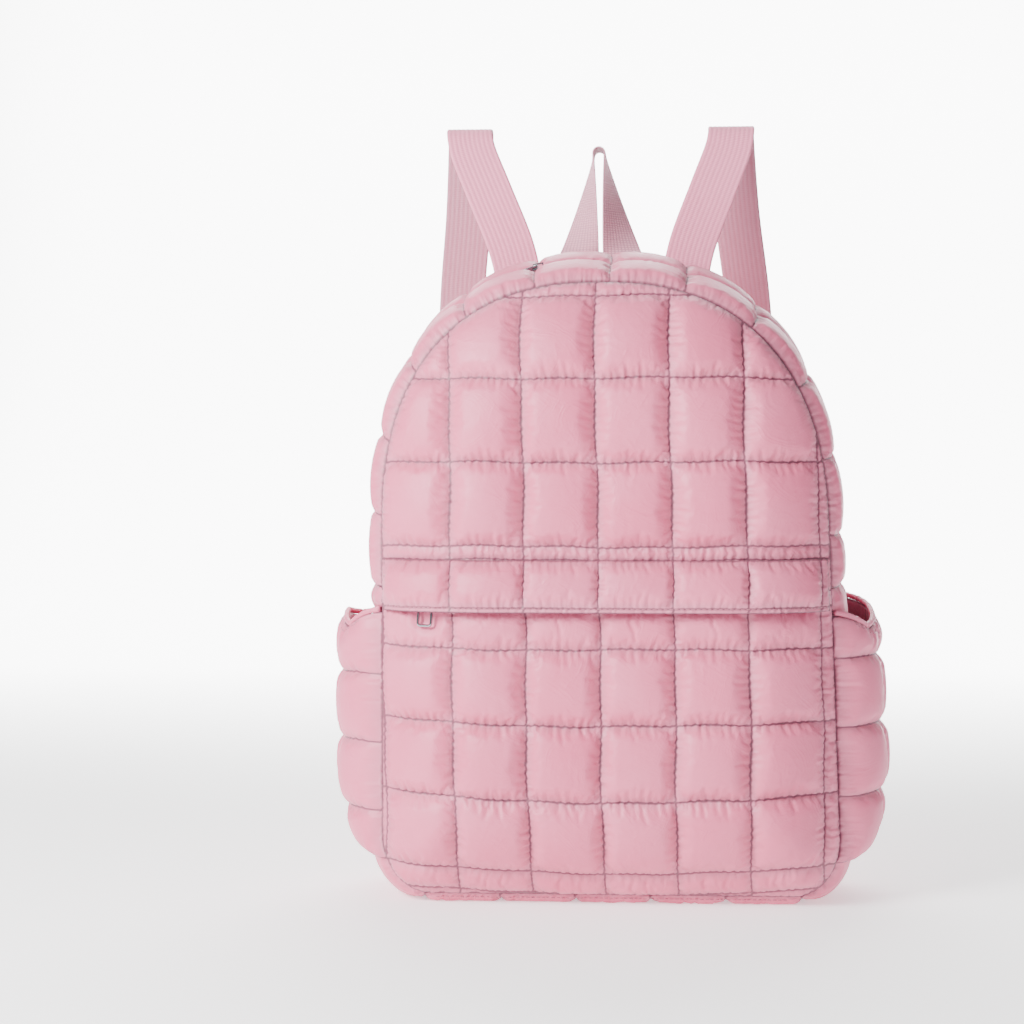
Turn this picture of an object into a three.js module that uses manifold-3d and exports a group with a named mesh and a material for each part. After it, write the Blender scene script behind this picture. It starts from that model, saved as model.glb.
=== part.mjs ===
// Quilted laptop backpack in padded nylon, standing by itself.
// Millimetres, +Z up. The front faces -Y and +X is on the viewer's right.
// The padded cloth is cut in panels, each a hollow-backed wall with its own pillows.
import * as THREE from 'three';
import Module from 'manifold-3d';

const wasm = await Module();
wasm.setup();

const { clamp, lerp, mapLinear } = THREE.MathUtils;

// Body, measured on the seam round the front
const bodyHeight = 372;
const bodyDepth = 110;
const hipHalfWidth = 136.5;
const hipHeight = 40;
const topHalfWidth = 131;
const archFoot = 225;
const archSquareness = 2.4;
const cornerWidth = 28;
const seamFoot = 6;
const rearRise = 22;
const rearRiseFoot = 140;
const lean = 7;

// Fullness of the front and the back
const lowCrown = 34;
const highCrown = 22;
const backCrown = 13;
const backLoft = 4;
const backRows = 8;
const backColumnPitch = 46.5;
const crownReach = 72;
const crownRoundness = 2.2;

// Padded cloth
const wall = 2;
const gap = 0.3;
const quiltLoft = 6.5;
const fullCell = 40;
const edgeSoftness = 14;
const pillowFullness = 0.6;
const quiltColumns = 8;
const shoulderShare = 0.25;
const columnPitch = 43.5;
const quiltOffset = -3.2;
const upperRowPitch = 49.5;
const gatherHeight = 8;
const lowerRowPitch = 44.5;
const footBand = 15;
const rowLift = 7;

// Flap and zip of the front pocket
const flapTop = 207;
const flapHeight = 30.5;
const flapStand = 9.6;
const flapLoft = 4.5;
const flapInset = 1.5;
const pocketTop = 180;
const pocketTopLoft = 3.6;
const zipWidth = 8;
const tapeThickness = 1.2;
const coilWidth = 2.6;
const coilHeight = 1.3;

// Gusset round the side and top, with the main zip between its two bands
const frontBandWidth = 35;
const mainZipWidth = 10;
const bandEnd = 190;
const crossPitch = 45;
const crossOffset = 6;
const gussetBarrel = 5;
const sidePuff = 6;
const frontTopPuff = 6;
const rearTopPuff = 5;
const basePuff = 6;
const baseRowWidth = 36;
const seamDip = 0.5;
const stripShoulder = 3.2;
const stripRoundness = 0.55;

// Side pockets
const sideFoot = 26;
const sideRim = 171;
const sideBulge = 15;
const sideBulgeReach = 55;
const sideRowPitch = 41;
const sideLoft = 5;
const sideColumns = 3;
const rimThickness = 3.4;
const sideClearance = 0.9;
const sideShoulder = 2.6;
const sideRoundness = 0.7;
const leftFirstRow = 55;
const rightFirstRow = 66;

// Metal: slider and pull ring, the same on both zips
const sliderLength = 8;
const sliderWidth = 8.5;
const sliderThickness = 1.2;
const bridgeWidth = 3;
const bridgeThickness = 0.8;
const ringWidth = 10.6;
const ringLength = 16.5;
const ringWire = 1.7;
const ringCorner = 1.6;
const hingePlay = 0.25;
const pocketPullX = -103.5;
const pocketRingTilt = 9;
const mainPullX = -37;
const mainRingTilt = -8;

// Webbing
const strapWidth = 30;
const strapThickness = 2;
const strapTop = 485;
const strapFootHeight = 368;
const strapFootX = 53;
const strapTopX = 86;
const strapCentre = -2;
const strapLowX = 109;
const strapLowHeight = 24;
const strapBow = 62;
const strapBend = 8;
const strapFoldShare = 0.3;
const footSewn = 28;
const loopWidth = 25;
const loopThickness = 1.6;
const loopTop = 469;
const loopFootHeight = 372;
const loopCentre = -2.3;
const loopBend = 3.7;
const loopFlatShare = 0.32;
const loopParting = 2.6;
const loopSwing = loopWidth / 4;

const frontY = -bodyDepth / 2;
const backY = bodyDepth / 2;
const flapHem = flapTop - flapHeight;
const zipTop = pocketTop + zipWidth;

const nylon = { color: 0xdeaaba, roughness: 0.55, metalness: 0 };
const webbing = { color: 0xe3b2c0, roughness: 0.85, metalness: 0 };
const tape = { color: 0xd59fb0, roughness: 0.8, metalness: 0 };
const steel = { color: 0xc9cacc, roughness: 0.22, metalness: 1 };

// Even shares from 0 to 1
function shares(count) {
  return Array.from({ length: count + 1 }, (_, k) => k / count);
}

// Half the body's width at a height of the front seam
function halfWidth(z) {
  if (z < hipHeight) {
    const drop = clamp((hipHeight - z) / (hipHeight - seamFoot), 0, 1);
    return hipHalfWidth - cornerWidth * (1 - Math.sqrt(1 - drop ** 2));
  }
  const taper = mapLinear(z, hipHeight, bodyHeight, hipHalfWidth, topHalfWidth);
  const rise = clamp((z - archFoot) / (bodyHeight - archFoot), 0, 1);
  return taper * (1 - rise ** archSquareness) ** (1 / archSquareness);
}

// Heights of the outline's points: rounded corner, straight side, then the arch
function outlineHeights(cornerSteps, sideSteps, archSteps) {
  const quarter = Math.PI / 2;
  const corner = shares(cornerSteps).slice(0, -1)
    .map((t) => hipHeight - (hipHeight - seamFoot) * Math.cos(t * quarter));
  const side = shares(sideSteps).slice(0, -1).map((t) => lerp(hipHeight, archFoot, t));
  const arch = shares(archSteps)
    .map((t) => archFoot + (bodyHeight - archFoot) * Math.sin(t * quarter) ** (2 / archSquareness));
  return [...corner, ...side, ...arch];
}

// The seam as a closed outline in x and z, anticlockwise from the front
function seamOutline(cornerSteps, sideSteps, archSteps, inset = 0) {
  const heights = outlineHeights(cornerSteps, sideSteps, archSteps);
  const right = heights.map((z) => new THREE.Vector2(Math.max(0, halfWidth(z) - inset), z));
  const left = right.slice(0, -1).reverse().map((p) => new THREE.Vector2(-p.x, p.y));
  return [...right, ...left];
}

const seam = seamOutline(5, 4, 12);

// Distance inside a convex outline, negative outside it
function depthInside(outline, x, z) {
  return Math.min(...outline.map((p, k) => {
    const q = outline[(k + 1) % outline.length];
    const run = q.clone().sub(p);
    return (run.x * (z - p.y) - run.y * (x - p.x)) / run.length();
  }));
}

// How far the stuffed body stands out from the seam's plane
function fullness(x, z, crown) {
  const reach = clamp(depthInside(seam, x, z) / crownReach, 0, 1);
  return crown * (1 - (1 - reach) ** crownRoundness);
}

function frontFace(x, z) {
  return frontY - fullness(x, z, mapLinear(z, seamFoot, bodyHeight, lowCrown, highCrown));
}

// Places where the loft is worked out: each stitched line and two shoulders between lines
function shouldered(lines) {
  return lines.flatMap((line, k) => {
    if (k === lines.length - 1) return [line];
    const width = lines[k + 1] - line;
    return width > gatherHeight * 2
      ? [line, line + width * shoulderShare, line + width * (1 - shoulderShare)]
      : [line, line + width / 2];
  });
}

function cellAt(lines, at) {
  let k = 0;
  while (k < lines.length - 2 && at >= lines[k + 1]) k += 1;
  const width = lines[k + 1] - lines[k];
  return { width, share: clamp((at - lines[k]) / width, 0, 1) };
}

// A pillow: nothing on its stitched lines and full in the middle
function pillow(columns, rows, x, z, loft) {
  const across = cellAt(columns, x);
  const up = cellAt(rows, z);
  const size = Math.min(1, Math.min(across.width, up.width) / fullCell);
  const swell = Math.sin(Math.PI * across.share) * Math.sin(Math.PI * up.share);
  return loft * size * Math.max(0, swell) ** pillowFullness;
}

// A closed body from shared points and triangles, with its faces pointing out
function closedBody(points, triangles) {
  const volume = triangles.reduce((sum, [a, b, c]) => (
    sum + points[a].dot(points[b].clone().cross(points[c]))), 0);
  const turned = volume < 0 ? triangles.map(([a, b, c]) => [a, c, b]) : triangles;
  const geometry = new THREE.BufferGeometry().setFromPoints(points);
  geometry.setIndex(turned.flat());
  geometry.computeVertexNormals();
  return geometry;
}

// A wall from faces that two layers of points share, closed along its edge
function wallBody(faces, outer, inner) {
  const count = outer.length;
  const triangles = [];
  const edge = new Map();
  for (const face of faces) {
    for (let k = 1; k < face.length - 1; k += 1) {
      const [a, b, c] = [face[0], face[k], face[k + 1]];
      triangles.push([a, b, c], [a + count, c + count, b + count]);
    }
    face.forEach((a, k) => {
      const b = face[(k + 1) % face.length];
      if (!edge.delete(`${b} ${a}`)) edge.set(`${a} ${b}`, [a, b]);
    });
  }
  for (const [a, b] of edge.values()) {
    triangles.push([b, a, a + count], [b, a + count, b + count]);
  }
  return closedBody([...outer, ...inner], triangles);
}

// A wall over a plain grid of two measures
function gridWall(us, vs, outerAt, innerAt) {
  const layer = (at) => us.flatMap((u) => vs.map((v) => at(u, v)));
  const faces = [];
  for (let i = 0; i < us.length - 1; i += 1) {
    for (let j = 0; j < vs.length - 1; j += 1) {
      const a = i * vs.length + j;
      faces.push([a, a + vs.length, a + vs.length + 1, a + 1]);
    }
  }
  return wallBody(faces, layer(outerAt), layer(innerAt));
}

// One cell of cloth trimmed to a convex outline
function trimmed(cell, outline) {
  return outline.reduce((kept, p, k) => {
    const q = outline[(k + 1) % outline.length];
    const side = (r) => (q.x - p.x) * (r.y - p.y) - (q.y - p.y) * (r.x - p.x);
    return kept.flatMap((r, j) => {
      const next = kept[(j + 1) % kept.length];
      const [here, there] = [side(r), side(next)];
      const crossing = here * there < 0 ? [r.clone().lerp(next, here / (here - there))] : [];
      return here >= 0 ? [r, ...crossing] : crossing;
    });
  }, cell);
}

// Quilted cloth cut to an outline: flat faces and the points that they share
function cutCloth(xs, zs, place, outline) {
  const points = [];
  const near = gap / 100;
  const numberOf = (p) => {
    const found = points.findIndex((q) => q.distanceTo(p) < near);
    return found < 0 ? points.push(p) - 1 : found;
  };
  const faces = [];
  for (let i = 0; i < xs.length - 1; i += 1) {
    for (let j = 0; j < zs.length - 1; j += 1) {
      const corners = [[i, j], [i + 1, j], [i + 1, j + 1], [i, j + 1]];
      const cell = trimmed(corners.map(([a, b]) => place(xs[a], zs[b])), outline);
      const face = cell.map(numberOf).filter((n, k, all) => n !== all[(k + 1) % all.length]);
      if (face.length < 3) continue;
      const start = face.findIndex((n) => depthInside(outline, points[n].x, points[n].y) > near);
      faces.push([...face.slice(Math.max(0, start)), ...face.slice(0, Math.max(0, start))]);
    }
  }
  return { faces, points };
}

// A panel whose outer and inner depths are worked out at each point of its cut cloth
function panel(cloth, outerDepth, innerDepth) {
  const layer = (depth) => cloth.points.map((p) => new THREE.Vector3(p.x, depth(p.x, p.y), p.y));
  return wallBody(cloth.faces, layer(outerDepth), layer(innerDepth));
}

// A body through like sections, closed at both ends or joined round to its start
function sectionBody(sections, loop = false) {
  const size = sections[0].length;
  const triangles = [];
  const count = loop ? sections.length : sections.length - 1;
  for (let i = 0; i < count; i += 1) {
    const next = (i + 1) % sections.length;
    for (let k = 0; k < size; k += 1) {
      const [a, b] = [i * size + k, i * size + (k + 1) % size];
      const [c, d] = [next * size + k, next * size + (k + 1) % size];
      triangles.push([a, b, d], [a, d, c]);
    }
  }
  if (!loop) {
    const last = (sections.length - 1) * size;
    for (let k = 1; k < size - 1; k += 1) {
      triangles.push([0, k + 1, k], [last, last + k, last + k + 1]);
    }
  }
  return closedBody(sections.flat(), triangles);
}

const columns = shares(quiltColumns).map((t) => quiltOffset + columnPitch * quiltColumns * (t - 1 / 2));
const flat = (x, z) => new THREE.Vector2(x, z);

function edgeFade(x, z) {
  return clamp(depthInside(seam, x, z) / edgeSoftness, 0, 1) ** pillowFullness;
}

function frontPanel() {
  const first = flapTop + gatherHeight;
  const quilted = shares(4).map((t) => first + upperRowPitch * t * 4);
  const rows = [flapTop, ...quilted];
  const loft = (x, z) => (z < flapTop ? 0 : pillow(columns, rows, x, z, quiltLoft) * edgeFade(x, z));
  const cloth = cutCloth(shouldered(columns), [zipTop + gap, ...shouldered(rows)], flat, seam);
  return panel(cloth, (x, z) => frontFace(x, z) - wall - loft(x, z), frontFace);
}

function pocketPanel() {
  const quilted = shares(3).map((t) => seamFoot + footBand + lowerRowPitch * t * 3);
  const rows = [seamFoot, ...quilted, pocketTop];
  const last = quilted[quilted.length - 1];
  // the rows curve up towards the sides, most of all at the foot
  const bend = (x) => rowLift * (x / hipHalfWidth) ** 2;
  const place = (x, z) => new THREE.Vector2(x, z + bend(x) * (1 - z / pocketTop));
  const unbent = (x, z) => (z - bend(x)) / (1 - bend(x) / pocketTop);
  const loft = (x, z) => {
    const level = unbent(x, z);
    const full = level > last ? pocketTopLoft * fullCell / (pocketTop - last) : quiltLoft;
    return pillow(columns, rows, x, level, full) * edgeFade(x, z);
  };
  const heights = [seamFoot - rowLift * 2, ...shouldered(rows)];
  const cloth = cutCloth(shouldered(columns), heights, place, seam);
  return panel(cloth, (x, z) => frontFace(x, z) - wall - loft(x, z), frontFace);
}

function pocketFlap() {
  const outline = seamOutline(5, 4, 12, flapInset);
  const rows = [flapHem, flapTop];
  const stand = (x, z) => {
    const drop = (flapTop - z) / flapHeight;
    return wall + gap + flapStand * Math.sqrt(drop) * edgeFade(x, z);
  };
  const loft = (x, z) => pillow(columns, rows, x, z, flapLoft * fullCell / flapHeight) * edgeFade(x, z);
  const heights = shares(4).map((t) => lerp(flapHem, flapTop, t));
  const cloth = cutCloth(shouldered(columns), heights, flat, outline);
  const inner = (x, z) => frontFace(x, z) - stand(x, z);
  return panel(cloth, (x, z) => inner(x, z) - wall - loft(x, z), inner);
}

// Tape with a raised coil along its middle, in the slot above the pocket
function pocketZip() {
  const middle = (pocketTop + zipTop) / 2;
  const half = coilWidth / 2;
  const heights = [pocketTop + gap, middle - half - gap, middle - half, middle + half,
    middle + half + gap, zipTop];
  const cloth = cutCloth(shouldered(columns), heights, flat, seam);
  const coil = (z) => (Math.abs(z - middle) < half + gap / 2 ? coilHeight : 0);
  return panel(cloth, (x, z) => frontFace(x, z) - tapeThickness - coil(z), frontFace);
}

const backHalf = Math.ceil(hipHalfWidth / backColumnPitch);
const backColumns = shares(backHalf * 2).map((t) => (t * 2 - 1) * backHalf * backColumnPitch);
const backLines = shares(backRows).map((t) => lerp(seamFoot, bodyHeight, t));

function backInner(x, z) {
  return backY + fullness(x, z, backCrown);
}

function backOuter(x, z) {
  return backInner(x, z) + wall + pillow(backColumns, backLines, x, z, backLoft) * edgeFade(x, z);
}

function backPanel() {
  const middles = (lines) => lines.flatMap((line, k) => (
    k === lines.length - 1 ? [line] : [line, (line + lines[k + 1]) / 2]));
  const cloth = cutCloth(middles(backColumns), middles(backLines), flat, seam);
  const layer = (depth) => cloth.points.map((p) => (
    new THREE.Vector3(p.x, depth(p.x, p.y), p.y + rearRise * riseShare(p.y))));
  return wallBody(cloth.faces, layer(backOuter), layer(backInner));
}

// Share of the back's extra height that a point of the outline takes
function riseShare(z) {
  return clamp((z - rearRiseFoot) / (bodyHeight - rearRiseFoot), 0, 1);
}

// The seam's length, and the place and outward direction at a length from its top
const fineSeam = seamOutline(16, 12, 60);
const seamRun = (() => {
  const top = fineSeam.findIndex((p) => p.x < 1e-6);
  const ordered = fineSeam.map((_, k) => fineSeam[(top - k + fineSeam.length) % fineSeam.length]);
  const run = [0];
  for (let k = 1; k <= ordered.length; k += 1) {
    run.push(run[k - 1] + ordered[k % ordered.length].distanceTo(ordered[k - 1]));
  }
  return { ordered, run, total: run[run.length - 1] };
})();

function seamAt(length) {
  const { ordered, run, total } = seamRun;
  const at = ((length % total) + total) % total;
  let k = 0;
  while (run[k + 1] < at) k += 1;
  const [p, q] = [ordered[k], ordered[(k + 1) % ordered.length]];
  return p.clone().lerp(q, (at - run[k]) / (run[k + 1] - run[k]));
}

function seamNormal(length) {
  const step = seamRun.total / 200;
  const along = seamAt(length + step).sub(seamAt(length - step)).normalize();
  return new THREE.Vector2(-along.y, along.x);
}

// A point of the gusset: along the seam, back from the front, and out from the cloth
function gussetPoint(length, y, out) {
  const place = seamAt(length);
  const normal = seamNormal(length);
  const back = (y - frontY) / bodyDepth;
  const offset = out + gussetBarrel * (1 - (2 * back - 1) ** 2);
  const z = place.y + rearRise * back * riseShare(place.y) + normal.y * offset;
  return new THREE.Vector3(place.x + normal.x * offset, y, Math.max(0, z));
}

// Length along the seam from its top to a height on the side
function lengthTo(height) {
  const { ordered, run } = seamRun;
  const k = ordered.findIndex((p) => p.y < height);
  return mapLinear(height, ordered[k - 1].y, ordered[k].y, run[k - 1], run[k]);
}

// Cross seams of the gusset between two lengths, with the ends
function crossSeams(start, end) {
  const first = Math.ceil((start - crossOffset) / crossPitch);
  const last = Math.floor((end - crossOffset) / crossPitch);
  const inside = shares(last - first).map((t) => crossOffset + crossPitch * (first + t * (last - first)));
  const apart = inside.filter((s) => s - start > crossPitch / 3 && end - s > crossPitch / 3);
  return [start, ...apart, end];
}

// One strip of the gusset, puffed between its edges and drawn in along its seams
function gussetStrip(start, end, lines, puffAt) {
  const seams = crossSeams(start, end);
  const [low, high] = [lines[0], lines[lines.length - 1]];
  const puff = (s, y) => {
    const round = (1 - Math.abs((2 * (y - low)) / (high - low) - 1) ** stripShoulder) ** stripRoundness;
    const along = Math.sin(Math.PI * cellAt(seams, s).share) ** pillowFullness;
    const across = lines.length > 2 ? Math.sin(Math.PI * cellAt(lines, y).share) ** pillowFullness : 1;
    return puffAt(seamNormal(s)) * round * (1 - seamDip * (1 - along * across));
  };
  const depths = lines.length > 2 ? shouldered(lines) : shares(6).map((t) => lerp(low, high, t));
  const outer = (s, y) => gussetPoint(s, y, Math.max(0, puff(s, y)));
  const inner = (s, y) => gussetPoint(s, y, -wall);
  return gridWall(shouldered(seams), depths, outer, inner);
}

const bandLength = lengthTo(bandEnd);
const grooveFront = frontY + frontBandWidth;
const grooveBack = grooveFront + mainZipWidth;

function topShare(normal) {
  return Math.max(0, normal.y) ** 2;
}

function gussetFrontBand() {
  const puffAt = (normal) => lerp(sidePuff, frontTopPuff, topShare(normal));
  return gussetStrip(-bandLength, bandLength, [frontY + gap, grooveFront], puffAt);
}

function gussetRearBand() {
  const puffAt = (normal) => lerp(sidePuff, rearTopPuff, topShare(normal));
  const lines = [grooveBack, (grooveBack + backY) / 2, backY - gap];
  return gussetStrip(-bandLength, bandLength, lines, puffAt);
}

function gussetBase() {
  const puffAt = (normal) => lerp(sidePuff, basePuff, Math.max(0, -normal.y));
  const lines = [frontY + gap, -baseRowWidth / 2, baseRowWidth / 2, backY - gap];
  const start = bandLength + gap;
  return gussetStrip(start, seamRun.total - start, lines, puffAt);
}

// Tape and coil in the groove between the two bands
function mainZip() {
  const middle = (grooveFront + grooveBack) / 2;
  const half = coilWidth / 2;
  const stations = [grooveFront + gap, middle - half - gap, middle - half, middle + half,
    middle + half + gap, grooveBack - gap];
  const lengths = shares(32).map((t) => lerp(-bandLength, bandLength, t));
  const top = (y) => (Math.abs(y - middle) < half + gap / 2 ? coilHeight : 0);
  return gridWall(lengths, stations,
    (s, y) => gussetPoint(s, y, top(y)), (s, y) => gussetPoint(s, y, -tapeThickness));
}

// Rim of each side pocket: front to back as a share, with the height over its mean
const rimTable = [
  { back: 0, left: 0.020, right: 0.012 },
  { back: 0.18, left: -0.040, right: -0.040 },
  { back: 0.5, left: 0, right: 0 },
  { back: 0.8, left: -0.020, right: 0.036 },
  { back: 1, left: -0.015, right: 0.056 },
];

function rimHeight(side, back) {
  const over = side < 0 ? 'left' : 'right';
  const k = clamp(rimTable.findIndex((row) => row.back >= back), 1, rimTable.length - 1);
  const [a, b] = [rimTable[k - 1], rimTable[k]];
  return sideRim * (1 + mapLinear(back, a.back, b.back, a[over], b[over]));
}

// Inside face of a side pocket, out from the seam's outline
function pocketReach(back, z) {
  const round = Math.max(0, 1 - Math.abs(2 * back - 1) ** sideShoulder) ** sideRoundness;
  const rise = clamp((z - sideFoot) / sideBulgeReach, 0, 1);
  return sideClearance + (gussetBarrel + sidePuff + sideBulge * (1 - (1 - rise) ** 2)) * round;
}

function pocketPoint(side, back, z, out) {
  const y = lerp(frontY + gap, backY - gap, back);
  return new THREE.Vector3(side * (halfWidth(z) + pocketReach(back, z) + out), y, z);
}

// Stations from front to back shared by a side pocket and its rim
const sideStations = shares(sideColumns).flatMap((line, k) => (
  k === sideColumns ? [line] : [0, shoulderShare, 1 - shoulderShare].map((t) => line + t / sideColumns)));

function sidePocket(side, firstRow) {
  const rowLines = [sideFoot, firstRow, firstRow + sideRowPitch, firstRow + sideRowPitch * 2, sideRim];
  const last = rowLines[rowLines.length - 2];
  const columnLines = shares(sideColumns);
  const height = (back, z) => (
    z <= last ? z : last + (z - last) * (rimHeight(side, back) - last) / (sideRim - last));
  const loft = (back, z) => {
    const up = cellAt(rowLines, z);
    const across = cellAt(columnLines, back);
    const size = Math.min(1, up.width / fullCell);
    return sideLoft * size * (Math.sin(Math.PI * up.share) * Math.sin(Math.PI * across.share)) ** pillowFullness;
  };
  const outer = (back, z) => (
    pocketPoint(side, back, height(back, z), wall + Math.max(0, loft(back, z))));
  const inner = (back, z) => pocketPoint(side, back, height(back, z), 0);
  return gridWall(sideStations, shouldered(rowLines), outer, inner);
}

// Bound edge along the rim, a bead on top of the pocket's cloth
function pocketRim(side) {
  const radius = rimThickness / 2;
  const sections = sideStations.map((back) => {
    const z = rimHeight(side, back) + gap + radius;
    return shares(6).slice(0, -1).map((t) => {
      const turn = t * Math.PI * 2;
      const point = pocketPoint(side, back, z, wall / 2 + radius * Math.cos(turn));
      point.z += radius * Math.sin(turn);
      return point;
    });
  });
  return sectionBody(sections);
}

// Slider of a zip: x across the tape's run, z along the bridge, +y down to the tape
const bridgeRoom = ringWire + hingePlay * 2;
const barHeight = sliderThickness + bridgeRoom / 2;
const barShift = -sliderLength / 2 + bridgeThickness * 2 + hingePlay + ringWire / 2;

function boxBody(low, high) {
  const size = high.clone().sub(low);
  const box = new THREE.BoxGeometry(size.x, size.y, size.z);
  box.translate(...low.clone().add(high).multiplyScalar(0.5).toArray());
  return box;
}

function solidOf(geometry) {
  const points = [];
  const triVerts = [];
  const place = geometry.getAttribute('position');
  const index = geometry.getIndex();
  for (let k = 0; k < index.count; k += 1) {
    const p = new THREE.Vector3().fromBufferAttribute(place, index.getX(k));
    const found = points.findIndex((q) => q.distanceTo(p) < gap / 100);
    triVerts.push(found < 0 ? points.push(p) - 1 : found);
  }
  return new wasm.Manifold(new wasm.Mesh({
    numProp: 3,
    vertProperties: new Float32Array(points.flatMap((p) => p.toArray())),
    triVerts: new Uint32Array(triVerts),
  }));
}

function geometryOf(solid) {
  const mesh = solid.getMesh();
  const geometry = new THREE.BufferGeometry();
  geometry.setAttribute('position', new THREE.BufferAttribute(new Float32Array(mesh.vertProperties), 3));
  geometry.setIndex(Array.from(mesh.triVerts));
  geometry.computeVertexNormals();
  return geometry;
}

// Heights here are towards -y, away from the tape
function zipSlider() {
  const block = (x, z, low, high) => boxBody(
    new THREE.Vector3(-x, -high, z[0]), new THREE.Vector3(x, -low, z[1]));
  const half = sliderLength / 2;
  const roof = sliderThickness + bridgeRoom;
  const plate = block(sliderWidth / 2, [-half, half], 0, sliderThickness);
  const bridge = block(bridgeWidth / 2, [-half + bridgeThickness, half - bridgeThickness],
    sliderThickness / 2, roof + bridgeThickness);
  const tunnel = block(bridgeWidth, [-half + bridgeThickness * 2, half - bridgeThickness * 2],
    sliderThickness, roof);
  return geometryOf(solidOf(plate).add(solidOf(bridge).subtract(solidOf(tunnel))));
}

// Rectangular wire ring hanging in -z from its bar, which lies on x at the origin
function pullRing() {
  const [w, h] = [ringWidth / 2 - ringWire / 2, ringLength - ringWire];
  const corners = [
    { x: w - ringCorner, z: -ringCorner, turn: 0 },
    { x: -w + ringCorner, z: -ringCorner, turn: 1 },
    { x: -w + ringCorner, z: -h + ringCorner, turn: 2 },
    { x: w - ringCorner, z: -h + ringCorner, turn: 3 },
  ];
  const sections = corners.flatMap(({ x, z, turn }) => shares(3).map((t) => {
    const angle = (turn + t) * Math.PI / 2;
    const out = new THREE.Vector3(Math.cos(angle), 0, Math.sin(angle));
    const centre = new THREE.Vector3(x, 0, z).addScaledVector(out, ringCorner);
    return shares(8).slice(0, -1).map((u) => {
      const round = u * Math.PI * 2;
      return centre.clone().addScaledVector(out, Math.cos(round) * ringWire / 2)
        .add(new THREE.Vector3(0, Math.sin(round) * ringWire / 2, 0));
    });
  }));
  return sectionBody(sections, true);
}

// A flat band through stations of centre, width direction and face direction
function bandBody(stations, width, thickness) {
  return sectionBody(stations.map(({ centre, across, face }) => {
    const corner = (a, b) => centre.clone()
      .addScaledVector(across, (a * width) / 2).addScaledVector(face, (b * thickness) / 2);
    return [corner(-1, -1), corner(1, -1), corner(1, 1), corner(-1, 1)];
  }));
}

// Route of a strap: across and back as shares of its named reaches, height of its rise
const strapRoute = [
  { out: 0, back: 0, level: 0 },
  { out: 0.03, back: 0, level: 0.14 },
  { out: 0.17, back: 0.04, level: 0.34 },
  { out: 0.60, back: 0.12, level: 0.68 },
  { out: 0.93, back: 0.24, level: 0.94 },
];
const strapFall = [
  { out: 0.14, back: 0.62, level: 0.90 },
  { out: 0.42, back: 0.86, level: 0.78 },
  { out: 0.66, back: 1, level: 0.58 },
  { out: 0.84, back: 0.86, level: 0.36 },
  { out: 0.95, back: 0.50, level: 0.17 },
  { out: 0.98, back: 0.14, level: 0.055 },
  { out: 1, back: 0, level: 0.03 },
  { out: 1, back: 0, level: 0 },
];

const backMesh = mesh('back_panel', backPanel(), nylon);

// Where webbing lies on the back's fullest pillow under its sewn foot
function backLie(x, z, width, thickness) {
  const behind = backY + bodyDepth;
  const under = shares(8).flatMap((a) => shares(4).map((b) => {
    const from = new THREE.Vector3(x + (a - 0.5) * width, behind, z + b * footSewn);
    const [hit] = new THREE.Raycaster(from, new THREE.Vector3(0, -1, 0)).intersectObject(backMesh);
    return hit ? hit.point.y : backY;
  }));
  return Math.max(...under) + gap * 2 + thickness / 2;
}

function shoulderStrap(side) {
  const footY = backLie(strapCentre + side * strapFootX, strapFootHeight, strapWidth, strapThickness);
  const lowY = backLie(strapCentre + side * strapLowX, strapLowHeight, strapWidth, strapThickness);
  const rise = strapTop - strapBend - strapFootHeight;
  const up = strapRoute.map((row) => new THREE.Vector3(
    lerp(strapFootX, strapTopX, row.out), footY + strapBow * row.back, strapFootHeight + rise * row.level));
  const turnY = footY + strapBow * strapFoldShare + strapBend;
  const over = [0.25, 0.5, 0.75].map((t) => new THREE.Vector3(
    strapTopX, turnY - strapBend * Math.cos(t * Math.PI), strapTop - strapBend
      + strapBend * Math.sin(t * Math.PI)));
  const fall = strapTop - strapBend - strapLowHeight;
  const down = strapFall.map((row) => new THREE.Vector3(
    lerp(strapTopX, strapLowX, row.out), lowY + strapBow * row.back, strapLowHeight + fall * row.level));
  const route = new THREE.CatmullRomCurve3([...up, ...over, ...down]);
  const stations = shares(46).map((t) => {
    const along = route.getTangentAt(t);
    const across = new THREE.Vector3(1, 0, 0).addScaledVector(along, -along.x).normalize();
    const face = across.clone().cross(along).normalize();
    const place = route.getPointAt(t);
    const flip = (v) => new THREE.Vector3(side * v.x, v.y, v.z);
    const centre = flip(place).add(new THREE.Vector3(strapCentre, 0, 0));
    return { centre, across: flip(across), face: flip(face) };
  });
  return bandBody(stations, strapWidth, strapThickness);
}

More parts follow.
